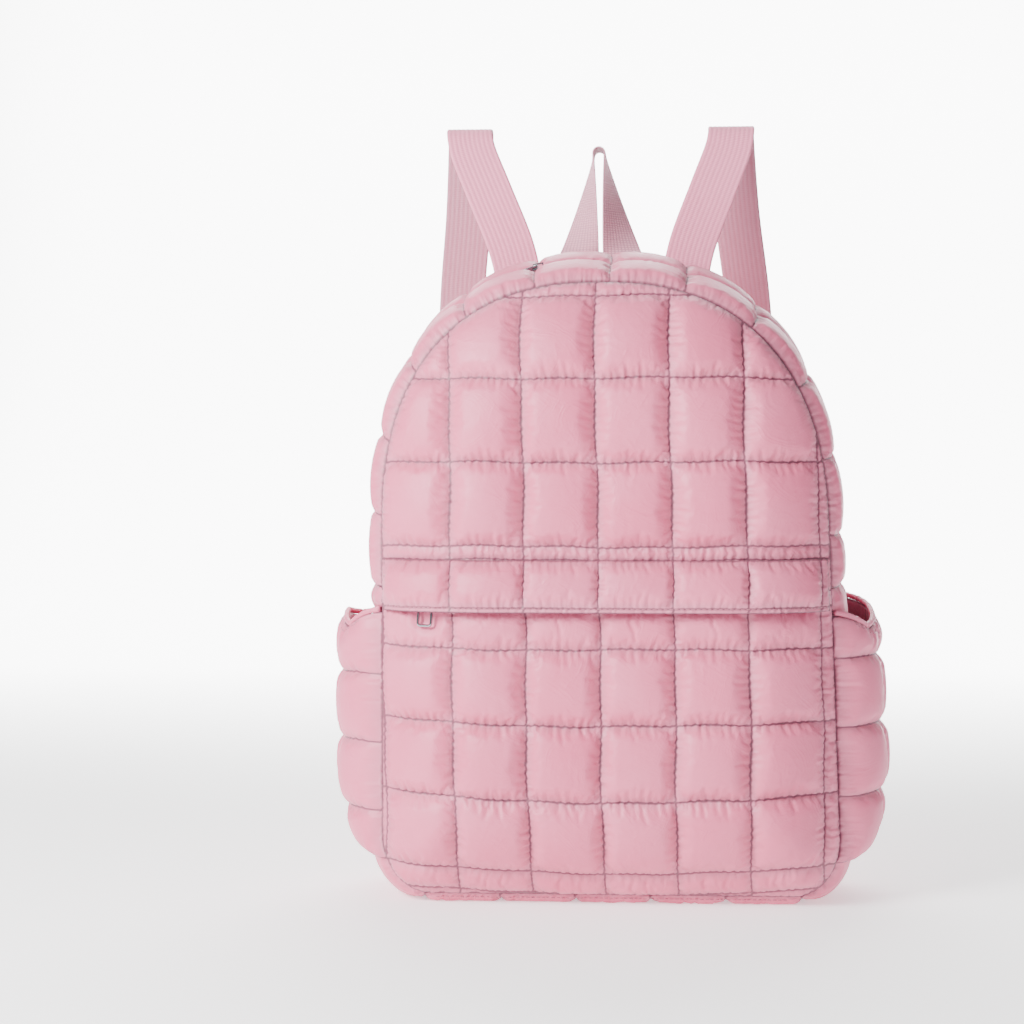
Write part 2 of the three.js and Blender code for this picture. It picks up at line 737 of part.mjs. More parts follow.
// Two legs side by side at the foot, which turn edge on as they rise to the bend
function haulLoop() {
  const footY = backLie(0, loopFootHeight, loopWidth * 2, loopThickness);
  const straight = loopTop - loopBend - loopFootHeight;
  // the outer edges run straight from the foot to the bend
  const leg = shares(12).map((t) => {
    const turn = clamp((t - loopFlatShare) / (1 - loopFlatShare), 0, 1);
    const angle = Math.acos(1 - turn);
    const apart = lerp(loopThickness / 2 + gap, loopBend, t ** loopParting);
    return { x: (loopWidth / 2) * Math.cos(angle) + apart, z: loopFootHeight + straight * t, angle };
  });
  const station = (x, z, angle, tilt) => ({
    centre: new THREE.Vector3(loopCentre + x, footY + loopSwing * Math.sin(angle), z),
    across: new THREE.Vector3(Math.cos(angle) * (x < 0 ? -1 : 1), Math.sin(angle), 0),
    face: new THREE.Vector3(
      Math.sin(angle) * Math.cos(tilt) * (x < 0 ? -1 : 1), -Math.cos(angle), Math.sin(tilt)).normalize(),
  });
  const left = leg.map(({ x, z, angle }) => station(-x, z, angle, 0));
  const bend = shares(6).slice(1, -1).map((t) => {
    const turn = t * Math.PI;
    return station(-loopBend * Math.cos(turn) || -1e-9, loopTop - loopBend + loopBend * Math.sin(turn),
      Math.PI / 2, t < 0.5 ? turn : Math.PI - turn);
  });
  const right = leg.slice().reverse().map(({ x, z, angle }) => station(x, z, angle, 0));
  return bandBody([...left, ...bend, ...right], loopWidth, loopThickness);
}

function mesh(name, geometry, finish) {
  const made = new THREE.Mesh(geometry, new THREE.MeshStandardMaterial(finish));
  made.name = name;
  return made;
}

// Slider and ring as a pair on a zip, with the ring turned on its bar
function zipPull(name, tilt) {
  const pair = new THREE.Group();
  const ring = mesh(`${name}_pull_ring`, pullRing(), steel);
  ring.position.set(0, -barHeight, barShift);
  ring.rotation.x = THREE.MathUtils.degToRad(-tilt);
  pair.add(mesh(`${name}_zip_slider`, zipSlider(), steel), ring);
  return pair;
}

function pocketPull() {
  const pair = zipPull('pocket', pocketRingTilt);
  const z = (pocketTop + zipTop) / 2;
  const step = ringWidth / 2;
  const slope = (frontFace(pocketPullX + step, z) - frontFace(pocketPullX - step, z)) / (step * 2);
  const lift = tapeThickness + coilHeight + gap;
  const turn = Math.atan(slope);
  pair.rotation.z = turn;
  pair.position.set(pocketPullX + Math.sin(turn) * lift, frontFace(pocketPullX, z) - Math.cos(turn) * lift, z);
  return pair;
}

// On the main zip the bridge runs along the tape, and the ring lies back along the groove
function mainPull() {
  const pair = zipPull('main', mainRingTilt);
  const y = (grooveFront + grooveBack) / 2;
  const length = mainPullX;
  const normal = seamNormal(length);
  const place = gussetPoint(length, y, coilHeight + gap);
  const out = new THREE.Vector3(normal.x, 0, normal.y);
  const along = new THREE.Vector3(normal.y, 0, -normal.x);
  const basis = new THREE.Matrix4().makeBasis(new THREE.Vector3(0, -1, 0), out.clone().negate(), along);
  pair.quaternion.setFromRotationMatrix(basis);
  pair.position.copy(place);
  return pair;
}

const bag = new THREE.Group();
bag.add(
  mesh('front_panel', frontPanel(), nylon),
  mesh('pocket_panel', pocketPanel(), nylon),
  mesh('pocket_flap', pocketFlap(), nylon),
  mesh('pocket_zip', pocketZip(), tape),
  mesh('gusset_front_band', gussetFrontBand(), nylon),
  mesh('gusset_rear_band', gussetRearBand(), nylon),
  mesh('gusset_base', gussetBase(), nylon),
  mesh('main_zip', mainZip(), tape),
  backMesh,
  mesh('side_pocket_left', sidePocket(-1, leftFirstRow), nylon),
  mesh('side_pocket_right', sidePocket(1, rightFirstRow), nylon),
  mesh('pocket_rim_left', pocketRim(-1), nylon),
  mesh('pocket_rim_right', pocketRim(1), nylon),
  mesh('shoulder_strap_left', shoulderStrap(-1), webbing),
  mesh('shoulder_strap_right', shoulderStrap(1), webbing),
  mesh('haul_loop', haulLoop(), webbing),
  pocketPull(),
  mainPull(),
);

// The soft bag leans a little to the left as it stands
bag.matrixAutoUpdate = false;
bag.matrix.makeShear(0, 0, 0, 0, -lean / bodyHeight, 0);

// The origin is on the floor under the middle of the whole part
const backpack = new THREE.Group();
backpack.add(bag);
backpack.updateMatrixWorld(true);
const reach = new THREE.Box3().setFromObject(backpack, true);
const middle = reach.getCenter(new THREE.Vector3());
backpack.position.set(-middle.x, -middle.y, -reach.min.z);

export default backpack;
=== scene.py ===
# Quilted laptop backpack in pink padded nylon, standing by itself on a pale floor.
# The cloth is worked out in millimetres, as it is cut, and placed in metres in the row's frame.
import math

import bpy
import numpy as np
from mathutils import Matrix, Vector
from mathutils.bvhtree import BVHTree


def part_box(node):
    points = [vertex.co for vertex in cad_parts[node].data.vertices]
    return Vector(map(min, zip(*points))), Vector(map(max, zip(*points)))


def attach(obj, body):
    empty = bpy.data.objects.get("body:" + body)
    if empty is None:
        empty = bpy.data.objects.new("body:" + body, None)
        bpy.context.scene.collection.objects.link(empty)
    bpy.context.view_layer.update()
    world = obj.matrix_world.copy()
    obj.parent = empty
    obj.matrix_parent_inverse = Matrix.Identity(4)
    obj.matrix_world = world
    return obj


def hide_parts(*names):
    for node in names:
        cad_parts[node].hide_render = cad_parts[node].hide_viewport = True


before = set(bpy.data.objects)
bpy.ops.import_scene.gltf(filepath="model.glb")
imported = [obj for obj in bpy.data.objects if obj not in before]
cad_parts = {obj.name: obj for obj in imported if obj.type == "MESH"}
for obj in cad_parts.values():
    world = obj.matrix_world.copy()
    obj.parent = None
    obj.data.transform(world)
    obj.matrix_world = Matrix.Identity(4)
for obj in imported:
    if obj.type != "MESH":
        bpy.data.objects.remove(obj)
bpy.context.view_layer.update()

# Camera: level with the middle of the bag, nearly straight on, as for a shop picture.
# It stands well back with a long lens, so the sides show only where they bulge.
camera_lens = bpy.data.cameras.new("camera")
camera_lens.lens = 82.3
camera_lens.sensor_width = 36
camera_lens.clip_end = 20
camera = bpy.data.objects.new("camera", camera_lens)
camera.location = (0.035, -1.472, 0.257)
camera.rotation_euler = (math.radians(90 - 0.905), 0, math.radians(3.8))
bpy.context.collection.objects.link(camera)
bpy.context.scene.camera = camera

# Body of the bag: the shape that the padded panels are sewn over, measured on its front seam.
# The soft bag leans a little to the left as it stands, and is filled out at the front.
body_height = 372.0
body_depth = 110.0
hip_half_width = 136.5
hip_height = 40.0
top_half_width = 131.0
arch_foot = 225.0
arch_squareness = 2.4
corner_width = 28.0
seam_foot = 6.0
rear_rise = 22.0
rear_rise_foot = 140.0
lean = 7.0
low_crown = 34.0
high_crown = 22.0
crown_reach = 72.0
crown_roundness = 2.2
front_y = -body_depth / 2
back_y = body_depth / 2
wall = 2.0
gap = 0.3


def half_width(z):
    z = np.asarray(z, float)
    drop = np.clip((hip_height - z) / (hip_height - seam_foot), 0, 1)
    corner = hip_half_width - corner_width * (1 - np.sqrt(1 - drop ** 2))
    share = (z - hip_height) / (body_height - hip_height)
    taper = hip_half_width + (top_half_width - hip_half_width) * share
    rise = np.clip((z - arch_foot) / (body_height - arch_foot), 0, 1)
    arch = np.clip(1 - rise ** arch_squareness, 0, 1) ** (1 / arch_squareness)
    return np.where(z < hip_height, corner, taper * arch)


def seam_outline(inset=0.0, corner_steps=10, side_steps=6, arch_steps=40):
    quarter = math.pi / 2
    turned = np.linspace(0, 1, corner_steps, endpoint=False)
    corner = hip_height - (hip_height - seam_foot) * np.cos(turned * quarter)
    side = np.linspace(hip_height, arch_foot, side_steps, endpoint=False)
    turn = np.sin(np.linspace(0, 1, arch_steps + 1) * quarter) ** (2 / arch_squareness)
    arch = arch_foot + (body_height - arch_foot) * turn
    z = np.concatenate([corner, side, arch])
    x = np.maximum(0, half_width(z) - inset)
    return np.column_stack([np.concatenate([x, -x[:-1][::-1]]), np.concatenate([z, z[:-1][::-1]])])


seam = seam_outline()


def depth_inside(outline, x, z):
    """Distance inside a convex outline, negative outside it."""
    start = outline
    run = np.roll(outline, -1, axis=0) - outline
    length = np.hypot(run[:, 0], run[:, 1])
    least = np.full(np.shape(x), np.inf)
    for (px, pz), (rx, rz), size in zip(start, run, length):
        least = np.minimum(least, (rx * (z - pz) - rz * (x - px)) / size)
    return least


def nearest_on(outline, x, z):
    """Nearest point of a closed outline to each given point."""
    run = np.roll(outline, -1, axis=0) - outline
    best = np.full(np.shape(x), np.inf)
    found_x, found_z = np.array(x, float), np.array(z, float)
    for (px, pz), (rx, rz) in zip(outline, run):
        t = np.clip(((x - px) * rx + (z - pz) * rz) / (rx * rx + rz * rz), 0, 1)
        qx, qz = px + t * rx, pz + t * rz
        away = np.hypot(x - qx, z - qz)
        closer = away < best
        best = np.where(closer, away, best)
        found_x = np.where(closer, qx, found_x)
        found_z = np.where(closer, qz, found_z)
    return found_x, found_z


def edge_side(outline, x, z):
    """Direction from each point to the nearest part of a closed outline."""
    near_x, near_z = nearest_on(outline, x, z)
    return near_x - x, near_z - z


def fullness(x, z, crown):
    reach = np.clip(depth_inside(seam, x, z) / crown_reach, 0, 1)
    return crown * (1 - (1 - reach) ** crown_roundness)


def front_face(x, z):
    share = (z - seam_foot) / (body_height - seam_foot)
    return front_y - fullness(x, z, low_crown + (high_crown - low_crown) * share)


def rise_share(z):
    return np.clip((z - rear_rise_foot) / (body_height - rear_rise_foot), 0, 1)


widest = hip_half_width - lean * hip_height / body_height
shift_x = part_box("pocket_panel")[1][0] * 1000 - widest
shift_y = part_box("pocket_panel")[1][1] * 1000 - front_y


def placed(points):
    """Points in the bag's own millimetres, leaned and moved to the row's frame in metres."""
    points = np.asarray(points, float)
    moved = points.copy()
    moved[..., 0] += shift_x - lean / body_height * points[..., 2]
    moved[..., 1] += shift_y
    return moved / 1000


def linear(colour):
    """sRGB hex to the linear colour that a shader takes."""
    parts = [int(colour[k:k + 2], 16) / 255 for k in (1, 3, 5)]
    return tuple(c / 12.92 if c <= 0.04045 else ((c + 0.055) / 1.055) ** 2.4 for c in parts) + (1.0,)


def add_node(tree, kind, settings=None, values=None, links=None):
    """Adds a shader node with its settings, socket values and links from other nodes' sockets."""
    node = tree.nodes.new(kind)
    for name, value in (settings or {}).items():
        setattr(node, name, value)
    for socket, value in (values or {}).items():
        node.inputs[socket].default_value = value
    for socket, (source, output) in (links or {}).items():
        tree.links.new(source.outputs[output], node.inputs[socket])
    return node


def new_material(name):
    material = bpy.data.materials.new(name)
    material.use_nodes = True
    tree = material.node_tree
    tree.nodes.clear()
    return material, tree


def add_surface(tree, values, links):
    """The one principled surface of a material, on its output."""
    surface = add_node(tree, "ShaderNodeBsdfPrincipled", {}, values, links)
    add_node(tree, "ShaderNodeOutputMaterial", {}, {}, {"Surface": (surface, "BSDF")})


def eased(tree, source, output, span, values):
    """A smooth change from the first value to the second as a source passes the span."""
    return add_node(tree, "ShaderNodeMapRange", {"interpolation_type": "SMOOTHSTEP"},
                    {"From Min": span[0], "From Max": span[1], "To Min": values[0], "To Max": values[1]},
                    {"Value": (source, output)})


def ridged_noise(tree, source, stretch):
    """Sharp creases on the cut of the cloth, drawn out by a stretch of its two directions."""
    drawn = add_node(tree, "ShaderNodeMapping", {}, {"Scale": (*stretch, 1.0)}, {"Vector": source})
    kind = {"noise_dimensions": "2D", "noise_type": "RIDGED_MULTIFRACTAL"}
    return add_node(tree, "ShaderNodeTexNoise", kind, {"Scale": 1.0, "Detail": 2.0, "Roughness": 0.5},
                    {"Vector": (drawn, "Vector")})


def mixed(tree, share, colours, links=None):
    """A mix of two colours, each a fixed colour or None where it is linked."""
    fixed = {"Color%d" % (k + 1): linear(colour) for k, colour in enumerate(colours) if colour}
    return add_node(tree, "ShaderNodeMixRGB", {}, fixed, {"Fac": share, **(links or {})})


def nylon_satin(name, colour, wrong_side_and_shade, groove_shade, roughness):
    """Calendered nylon taffeta: a close plain weave with a soft satin shine, crushed by the quilting."""
    material, tree = new_material(name)
    # the threads are finer than this; they are drawn at a pitch that can still be seen close up
    weave_pitch = 0.55
    place = add_node(tree, "ShaderNodeTexCoord")
    cut = add_node(tree, "ShaderNodeUVMap", {"uv_map": "cut_mm"})
    across, along = (
        add_node(tree, "ShaderNodeTexWave", {"wave_type": "BANDS", "bands_direction": way},
                 {"Scale": 2 * math.pi / (20 * weave_pitch), "Distortion": 0.4, "Detail": 0.0},
                 {"Vector": (cut, "UV")})
        for way in ("X", "Y"))
    weave = add_node(tree, "ShaderNodeMath", {"operation": "MULTIPLY"}, {},
                     {0: (across, "Fac"), 1: (along, "Fac")})
    crease = add_node(tree, "ShaderNodeTexNoise", {}, {"Scale": 120.0, "Detail": 4.0, "Roughness": 0.55},
                      {"Vector": (place, "Object")})
    cloud = add_node(tree, "ShaderNodeTexNoise", {}, {"Scale": 22.0, "Detail": 2.0},
                     {"Vector": (place, "Object")})
    # long thin creases that cross the pillows in patches, pressed in by packing
    wander, patches = (
        add_node(tree, "ShaderNodeTexNoise", {"noise_dimensions": "2D"}, {"Scale": scale, "Detail": 1.0},
                 {"Vector": (cut, "UV")})
        for scale in (0.03, 0.035))
    shifted = add_node(tree, "ShaderNodeVectorMath", {"operation": "MULTIPLY_ADD"}, {1: (34.0, 34.0, 0.0)},
                       {0: (wander, "Color"), 2: (cut, "UV")})
    slants = []
    for turn, stretch in ((0.65, (0.045, 0.34)), (-0.8, (0.06, 0.42))):
        slant = add_node(tree, "ShaderNodeMapping", {}, {"Rotation": (0.0, 0.0, turn)},
                         {"Vector": (shifted, "Vector")})
        slants.append(ridged_noise(tree, (slant, "Vector"), stretch))
    crossed = mixed(tree, (patches, "Fac"), (None, None),
                    {"Color1": (slants[0], "Fac"), "Color2": (slants[1], "Fac")})
    # pinches about 4 mm wide that stand across the nearest stitched line and fade 10 mm away from it
    near = add_node(tree, "ShaderNodeAttribute", {"attribute_name": "near"})
    upright = add_node(tree, "ShaderNodeAttribute", {"attribute_name": "upright"})
    level_pinch, upright_pinch = (
        ridged_noise(tree, (cut, "UV"), stretch) for stretch in ((0.25, 0.05), (0.05, 0.25)))
    pinch = mixed(tree, (upright, "Fac"), (None, None),
                  {"Color1": (level_pinch, "Fac"), "Color2": (upright_pinch, "Fac")})
    hold = eased(tree, near, "Fac", (0.0, 10.0), (1.0, 0.0))
    gathered = add_node(tree, "ShaderNodeMath", {"operation": "MULTIPLY"}, {},
                        {0: (pinch, "Color"), 1: (hold, "Result")})
    # painted shade: within about a millimetre of each stitched line the cloth is darkened towards the
    # groove colour
    painted_seam_shade = eased(tree, near, "Fac", (0.1, 1.1), (0.85, 0.0))
    tone = add_node(tree, "ShaderNodeValToRGB", {}, {}, {"Fac": (cloud, "Fac")})
    tone.color_ramp.elements[0].position = 0.3
    tone.color_ramp.elements[0].color = linear(colour[0])
    tone.color_ramp.elements[1].position = 0.7
    tone.color_ramp.elements[1].color = linear(colour[1])
    # the stitched valleys are painted greyer and darker up to 5.5 mm from each seam, as painted shade; the
    # wrong side of the cloth takes the same duller colour
    painted_valley_shade = eased(tree, near, "Fac", (0.5, 5.5), (0.4, 0.0))
    wrong_side = add_node(tree, "ShaderNodeAttribute", {"attribute_name": "wrong_side"})
    valley_shade_or_wrong_side = add_node(tree, "ShaderNodeMath", {"operation": "MAXIMUM"}, {},
                      {0: (painted_valley_shade, "Result"), 1: (wrong_side, "Fac")})
    valley_shaded_tone = mixed(tree, (valley_shade_or_wrong_side, "Value"), (None, wrong_side_and_shade), {"Color1": (tone, "Color")})
    shaded = mixed(tree, (painted_seam_shade, "Result"), (None, groove_shade), {"Color1": (valley_shaded_tone, "Color")})
    gloss = add_node(tree, "ShaderNodeMapRange", {},
                     {"To Min": roughness - 0.06, "To Max": roughness + 0.08}, {"Value": (crease, "Fac")})
    folds = add_node(tree, "ShaderNodeBump", {}, {"Strength": 0.5, "Distance": 0.0009},
                     {"Height": (crease, "Fac")})
    pinched = add_node(tree, "ShaderNodeBump", {}, {"Strength": 0.75, "Distance": 0.0013},
                       {"Height": (gathered, "Value"), "Normal": (folds, "Normal")})
    creased = add_node(tree, "ShaderNodeBump", {}, {"Strength": 0.35, "Distance": 0.0007},
                       {"Height": (crossed, "Color"), "Normal": (pinched, "Normal")})
    threads = add_node(tree, "ShaderNodeBump", {}, {"Strength": 0.25, "Distance": 0.00006},
                       {"Height": (weave, "Value"), "Normal": (creased, "Normal")})
    add_surface(tree,
                {"Sheen Weight": 0.12, "Sheen Roughness": 0.4, "Sheen Tint": linear("#FFE9F0"), "IOR": 1.5},
                {"Base Color": (shaded, "Color"), "Roughness": (gloss, "Result"),
                 "Normal": (threads, "Normal")})
    return material


# the third colour is painted shade in the stitched valleys and also tints the wrong side; the fourth is
# painted shade along the seams
nylon = nylon_satin("satin_nylon", ("#DC6788", "#E27493"), "#BD8495", "#68394A", 0.48)


def spaced(lines, step):
    """All the stitched lines, with even steps of about the given size between them."""
    stops = []
    for low, high in zip(lines, lines[1:]):
        count = max(2, round((high - low) / step))
        stops += [low + (high - low) * k / count for k in range(count)]
    return np.array(stops + [lines[-1]])


def cell_of(lines, at):
    lines = np.asarray(lines, float)
    number = np.clip(np.searchsorted(lines, at, side="right") - 1, 0, len(lines) - 2)
    width = lines[number + 1] - lines[number]
    return number, width, np.clip((at - lines[number]) / width, 0, 1)


fold_lengths = (4.3, 6.1, 9.7)
fold_shares = (0.6, 0.5, 0.25)
fold_reach = 6.0
narrow_cell = 16
level_lines_from = 200


def gathers(u, v, u_lines, v_lines, seed):
    """Small folds that stand across each stitched line and die out into the pillow."""
    rng = np.random.default_rng(seed)
    phase = rng.random((400, 3)) * 2 * math.pi
    ku, wide, su = cell_of(u_lines, u)
    kv, tall, sv = cell_of(v_lines, v)
    total = np.zeros(np.shape(u))
    # the folds of a narrow cell run through from one of its lines to the other
    next_u = np.where(wide < narrow_cell, ku, ku + 1)
    next_v = level_lines_from + np.where(tall < narrow_cell, kv, kv + 1)
    edges = ((su * wide, v, ku, wide), ((1 - su) * wide, v, next_u, wide),
             (sv * tall, u, level_lines_from + kv, tall), ((1 - sv) * tall, u, next_v, tall))
    for away, along, number, width in edges:
        reach = np.minimum(fold_reach, width * 0.45)
        wander = 1.2 * np.sin(away / 4.0 + phase[number, 0])
        slow = 0.55 + 0.75 * (0.5 + 0.5 * np.sin(along / 13.0 + phase[number, 1])) ** 2
        at = along + wander
        wave = sum(share * (1 - 2.2 * np.abs(np.sin(math.pi * at / length + phase[number, k])))
                   for k, (length, share) in enumerate(zip(fold_lengths, fold_shares)))
        force = slow * np.where(width < narrow_cell, 1.5, 1.0)
        total += force * wave * np.exp(-away / reach) * (1 - np.exp(-away / 0.8))
    return total


def pillows(u, v, u_lines, v_lines, loft, seed, full_cell=40.0):
    """The stuffing's swell in each cell, no two quite alike."""
    rng = np.random.default_rng(seed)
    ku, wide, su = cell_of(u_lines, u)
    kv, tall, sv = cell_of(v_lines, v)
    size = np.minimum(1, np.minimum(wide, tall) / full_cell)
    own = 0.88 + 0.24 * rng.random((40, 40))
    tilt = (rng.random((40, 40, 2)) - 0.5) * 0.5
    swell = np.clip(np.sin(math.pi * su) * np.sin(math.pi * sv), 0, 1) ** 0.4
    slope = 1 + tilt[ku, kv, 0] * (su - 0.5) + tilt[ku, kv, 1] * (sv - 0.5)
    return loft * size * own[ku, kv] * slope * swell


def near_lines(u, v, u_lines, v_lines):
    """Distance to the nearest stitched line, and whether that line runs upright in the cut."""
    _, wide, su = cell_of(u_lines, u)
    _, tall, sv = cell_of(v_lines, v)
    across, up = np.minimum(su, 1 - su) * wide, np.minimum(sv, 1 - sv) * tall
    return np.minimum(across, up), (across < up).astype(float)


def mesh_object(name, points, faces, material, attributes=None, cut=None):
    data = bpy.data.meshes.new(name)
    data.from_pydata(points.tolist(), [], faces)
    data.update()
    for label, values in (attributes or {}).items():
        layer = data.attributes.new(label, "FLOAT", "POINT")
        layer.data.foreach_set("value", np.asarray(values, np.float32))
    if cut is not None:
        corner = np.empty(len(data.loops), np.int32)
        data.loops.foreach_get("vertex_index", corner)
        layer = data.uv_layers.new(name="cut_mm")
        layer.data.foreach_set("uv", cut[corner].astype(np.float32).ravel())
    data.polygons.foreach_set("use_smooth", np.ones(len(data.polygons), bool))
    data.materials.append(material)
    made = bpy.data.objects.new(name, data)
    bpy.context.collection.objects.link(made)
    return made


grown = 20.0
cloth_steps = 16


def puffed(points, faces, sewn, pressure, slack, cap):
    """Cloth held at its seams and pushed out by the stuffing, with no point moved past the cap, in mm."""
    # the solver is steadier on a cloth grown well past its real size
    data = bpy.data.meshes.new("cloth")
    data.from_pydata((points / 1000 * grown).tolist(), [], faces)
    cloth = bpy.data.objects.new("cloth", data)
    bpy.context.collection.objects.link(cloth)
    group = cloth.vertex_groups.new(name="sewn")
    group.add([int(k) for k in np.flatnonzero(sewn)], 1.0, "REPLACE")
    modifier = cloth.modifiers.new("cloth", "CLOTH")
    settings = modifier.settings
    settings.quality = 4
    settings.mass = 0.25
    settings.tension_stiffness = settings.compression_stiffness = 18
    settings.shear_stiffness = 8
    settings.bending_stiffness = 0.15
    settings.air_damping = 2.0
    settings.use_pressure = True
    settings.uniform_pressure_force = pressure
    settings.shrink_min = -slack
    settings.vertex_group_mass = "sewn"
    settings.effector_weights.gravity = 0
    modifier.collision_settings.use_collision = False
    modifier.point_cache.frame_end = cloth_steps
    scene = bpy.context.scene
    for step in range(1, cloth_steps + 1):
        scene.frame_set(step)
    shape = cloth.evaluated_get(bpy.context.evaluated_depsgraph_get()).data
    moved = np.empty(len(points) * 3, np.float32)
    shape.vertices.foreach_get("co", moved)
    moved = moved.reshape(-1, 3).astype(float) / grown * 1000 - points
    bpy.data.objects.remove(cloth)
    scene.frame_set(1)
    length = np.linalg.norm(moved, axis=1, keepdims=True)
    return points + moved * np.minimum(1, cap / np.maximum(length, 1e-9))


def closed_wall(name, outer, inner, faces, material, attributes, cut):
    """A padded wall from an outer and an inner layer on the same faces, joined round its edges."""
    count = len(outer)
    border = {}
    for face in faces:
        for a, b in zip(face, face[1:] + face[:1]):
            if (b, a) in border:
                del border[(b, a)]
            else:
                border[(a, b)] = True
    joined = faces + [tuple(count + k for k in reversed(face)) for face in faces]
    joined += [(b, a, count + a, count + b) for a, b in border]
    doubled = {label: np.concatenate([values, values]) for label, values in attributes.items()}
    doubled["wrong_side"] = np.concatenate([np.zeros(count), np.ones(count)])
    points = np.concatenate([outer, inner])
    return mesh_object(name, points, joined, material, doubled, np.concatenate([cut, cut]))


def quilt(name, u_lines, v_lines, step, place, lift, seed, outline=None, place_cut=None,
          pressure=3.2, slack=0.07, cap=3.0, gather=0.42, kept_flat=None):
    """A padded panel. place(u, v, out) gives a point of it, lift(u, v) its stuffing over the wall."""
    us, vs = spaced(u_lines, step), spaced(v_lines, step)
    u, v = (a.ravel() for a in np.meshgrid(us, vs, indexing="ij"))
    distance, upright = near_lines(u, v, u_lines, v_lines)
    rng = np.random.default_rng(seed)
    bend = rng.random(4) * 2 * math.pi
    inside = np.minimum(np.minimum(u - us[0], us[-1] - u), np.minimum(v - vs[0], vs[-1] - v))
    calm = np.clip(inside / 12, 0, 1)
    # no seam is sewn quite straight: it swings twice and is drawn into a fine zigzag by its gathers
    cloth_u = u + calm * (0.4 * np.sin(v / 9.0 + bend[0]) + 0.5 * np.sin(v / 23.0 + u / 60 + bend[1])
                          + 0.28 * np.sin(v * 1.25 + u / 5) * np.sin(v / 6.0 + bend[2]))
    cloth_v = v + calm * (0.4 * np.sin(u / 8.0 + bend[2]) + 0.5 * np.sin(u / 27.0 + v / 60 + bend[3])
                          + 0.28 * np.sin(u * 1.25 + v / 5) * np.sin(u / 6.0 + bend[0]))
    x, z = place_cut(cloth_u, cloth_v) if place_cut else (cloth_u, cloth_v)
    wide, tall = len(us), len(vs)
    i, j = (a.ravel() for a in np.meshgrid(np.arange(wide - 1), np.arange(tall - 1), indexing="ij"))
    quads = np.column_stack([i * tall + j, (i + 1) * tall + j, (i + 1) * tall + j + 1, i * tall + j + 1])
    edge = inside < 1e-6
    fade = np.ones(len(u))
    if outline is not None:
        depth = depth_inside(outline, x, z)
        near = depth <= 0.35 * step
        quads = quads[~near[quads].all(axis=1)]
        edge_x, edge_z = nearest_on(outline, x[near], z[near])
        x[near], z[near] = edge_x, edge_z
        edge = near | edge
        fade = np.clip(depth / 9, 0, 1) ** 0.5
        nearer = depth < distance
        towards_x, towards_z = edge_side(outline, x, z)
        upright = np.where(nearer, np.abs(towards_x) > np.abs(towards_z), upright)
        distance = np.minimum(distance, np.maximum(depth, 0))
    used = np.unique(quads)
    order = np.full(len(u), -1)
    order[used] = np.arange(len(used))
    faces = [tuple(int(k) for k in order[quad]) for quad in quads]
    u, v, x, z, distance, upright, edge, fade = (
        a[used] for a in (u, v, x, z, distance, upright, edge, fade))
    stuffing = lift(u, v, fade)
    fold = gather * gathers(u, v, u_lines, v_lines, seed + 1) * np.where(edge, 0, 1) * (0.4 + 0.6 * fade)
    loose = kept_flat(x, z) if kept_flat else np.ones(len(x))
    out = wall + np.maximum((stuffing + fold) * loose, 0.0)
    inner = place(x, z, np.zeros(len(x)))
    outer = place(x, z, out)
    sample = faces[len(faces) // 2]
    a, b, c = (outer[k] for k in sample[:3])
    if np.dot(np.cross(b - a, c - a), a - inner[sample[0]]) < 0:
        faces = [tuple(reversed(face)) for face in faces]
    sewn = edge | (distance < 0.3 * step)
    outer = puffed(outer, faces, sewn, pressure, slack, cap * loose[:, None])
    # the padding is pressed flat where the bag stands on the floor
    outer[:, 2] = np.maximum(outer[:, 2], 0.0)
    distance = np.where(edge, 0.0, distance)
    cut = np.column_stack([u, v])
    return closed_wall(name, placed(outer), placed(inner), faces, nylon,
                       {"near": distance, "upright": upright}, cut)


def sewn_in(piece, node):
    """A padded piece of the bag's body, in place of its CAD solid."""
    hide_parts(node)
    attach(piece, "bag")


# Front panel: the upper half of the front, down nylon quilted in squares on a thin backing.
# It is sewn into the arch of the seam, with a narrow gathered band over the flap.
columns = [-3.2 + 43.5 * k for k in range(-4, 5)]
upper_rows = [188.3, 207.0] + [215.0 + 49.5 * k for k in range(5)]
quilt_loft = 5.6
flap_top = 207.0


def on_front(x, z, out):
    return np.column_stack([x, front_face(x, z) - out, z])


def front_stuffing(u, v, fade):
    return np.where(v < flap_top, 0, pillows(u, v, columns, upper_rows, quilt_loft, 11) * fade)


front_panel = quilt("front_panel_quilt", columns, upper_rows, 1.25, on_front, front_stuffing, 21,
                    outline=seam)
sewn_in(front_panel, "front_panel")

# Pocket panel: the front pocket's quilted face, whose rows curve up towards the sides.
# The lowest row is a narrow gathered band along the bottom seam.
pocket_top = 180.0
row_lift = 7.0
lower_rows = [-8.0, 6.0, 21.0, 65.5, 110.0, 154.5, 180.0]


def row_bend(x, z):
    return x, z + row_lift * (x / hip_half_width) ** 2 * (1 - z / pocket_top)


def pocket_stuffing(u, v, fade):
    loft = np.where(v > lower_rows[-2], 3.6 * 40 / 25.5, quilt_loft)
    return pillows(u, v, columns, lower_rows, loft, 12) * fade


def under_ring(x, z):
    """The pull ring lies on the cloth here and holds it flat."""
    across, up = (x - ring_x) / 11, (z - ring_z) / 14
    return 1 - 0.85 * np.exp(-(across ** 2 + up ** 2) ** 2)


ring_x = -103.5
ring_z = 176.0
pocket_panel = quilt("pocket_panel_quilt", columns, lower_rows, 1.25, on_front, pocket_stuffing, 22,
                     outline=seam, place_cut=row_bend, kept_flat=under_ring)
sewn_in(pocket_panel, "pocket_panel")

# Pocket flap: a padded strip that covers the front pocket's zip, free along its hem.
# It is sewn under the gathered band and stands out over the zip.
flap_hem = 176.5
flap_height = flap_top - flap_hem
flap_outline = seam_outline(inset=1.5)
hem_width = 2.8
flap_rows = [flap_hem, flap_hem + hem_width, flap_top]


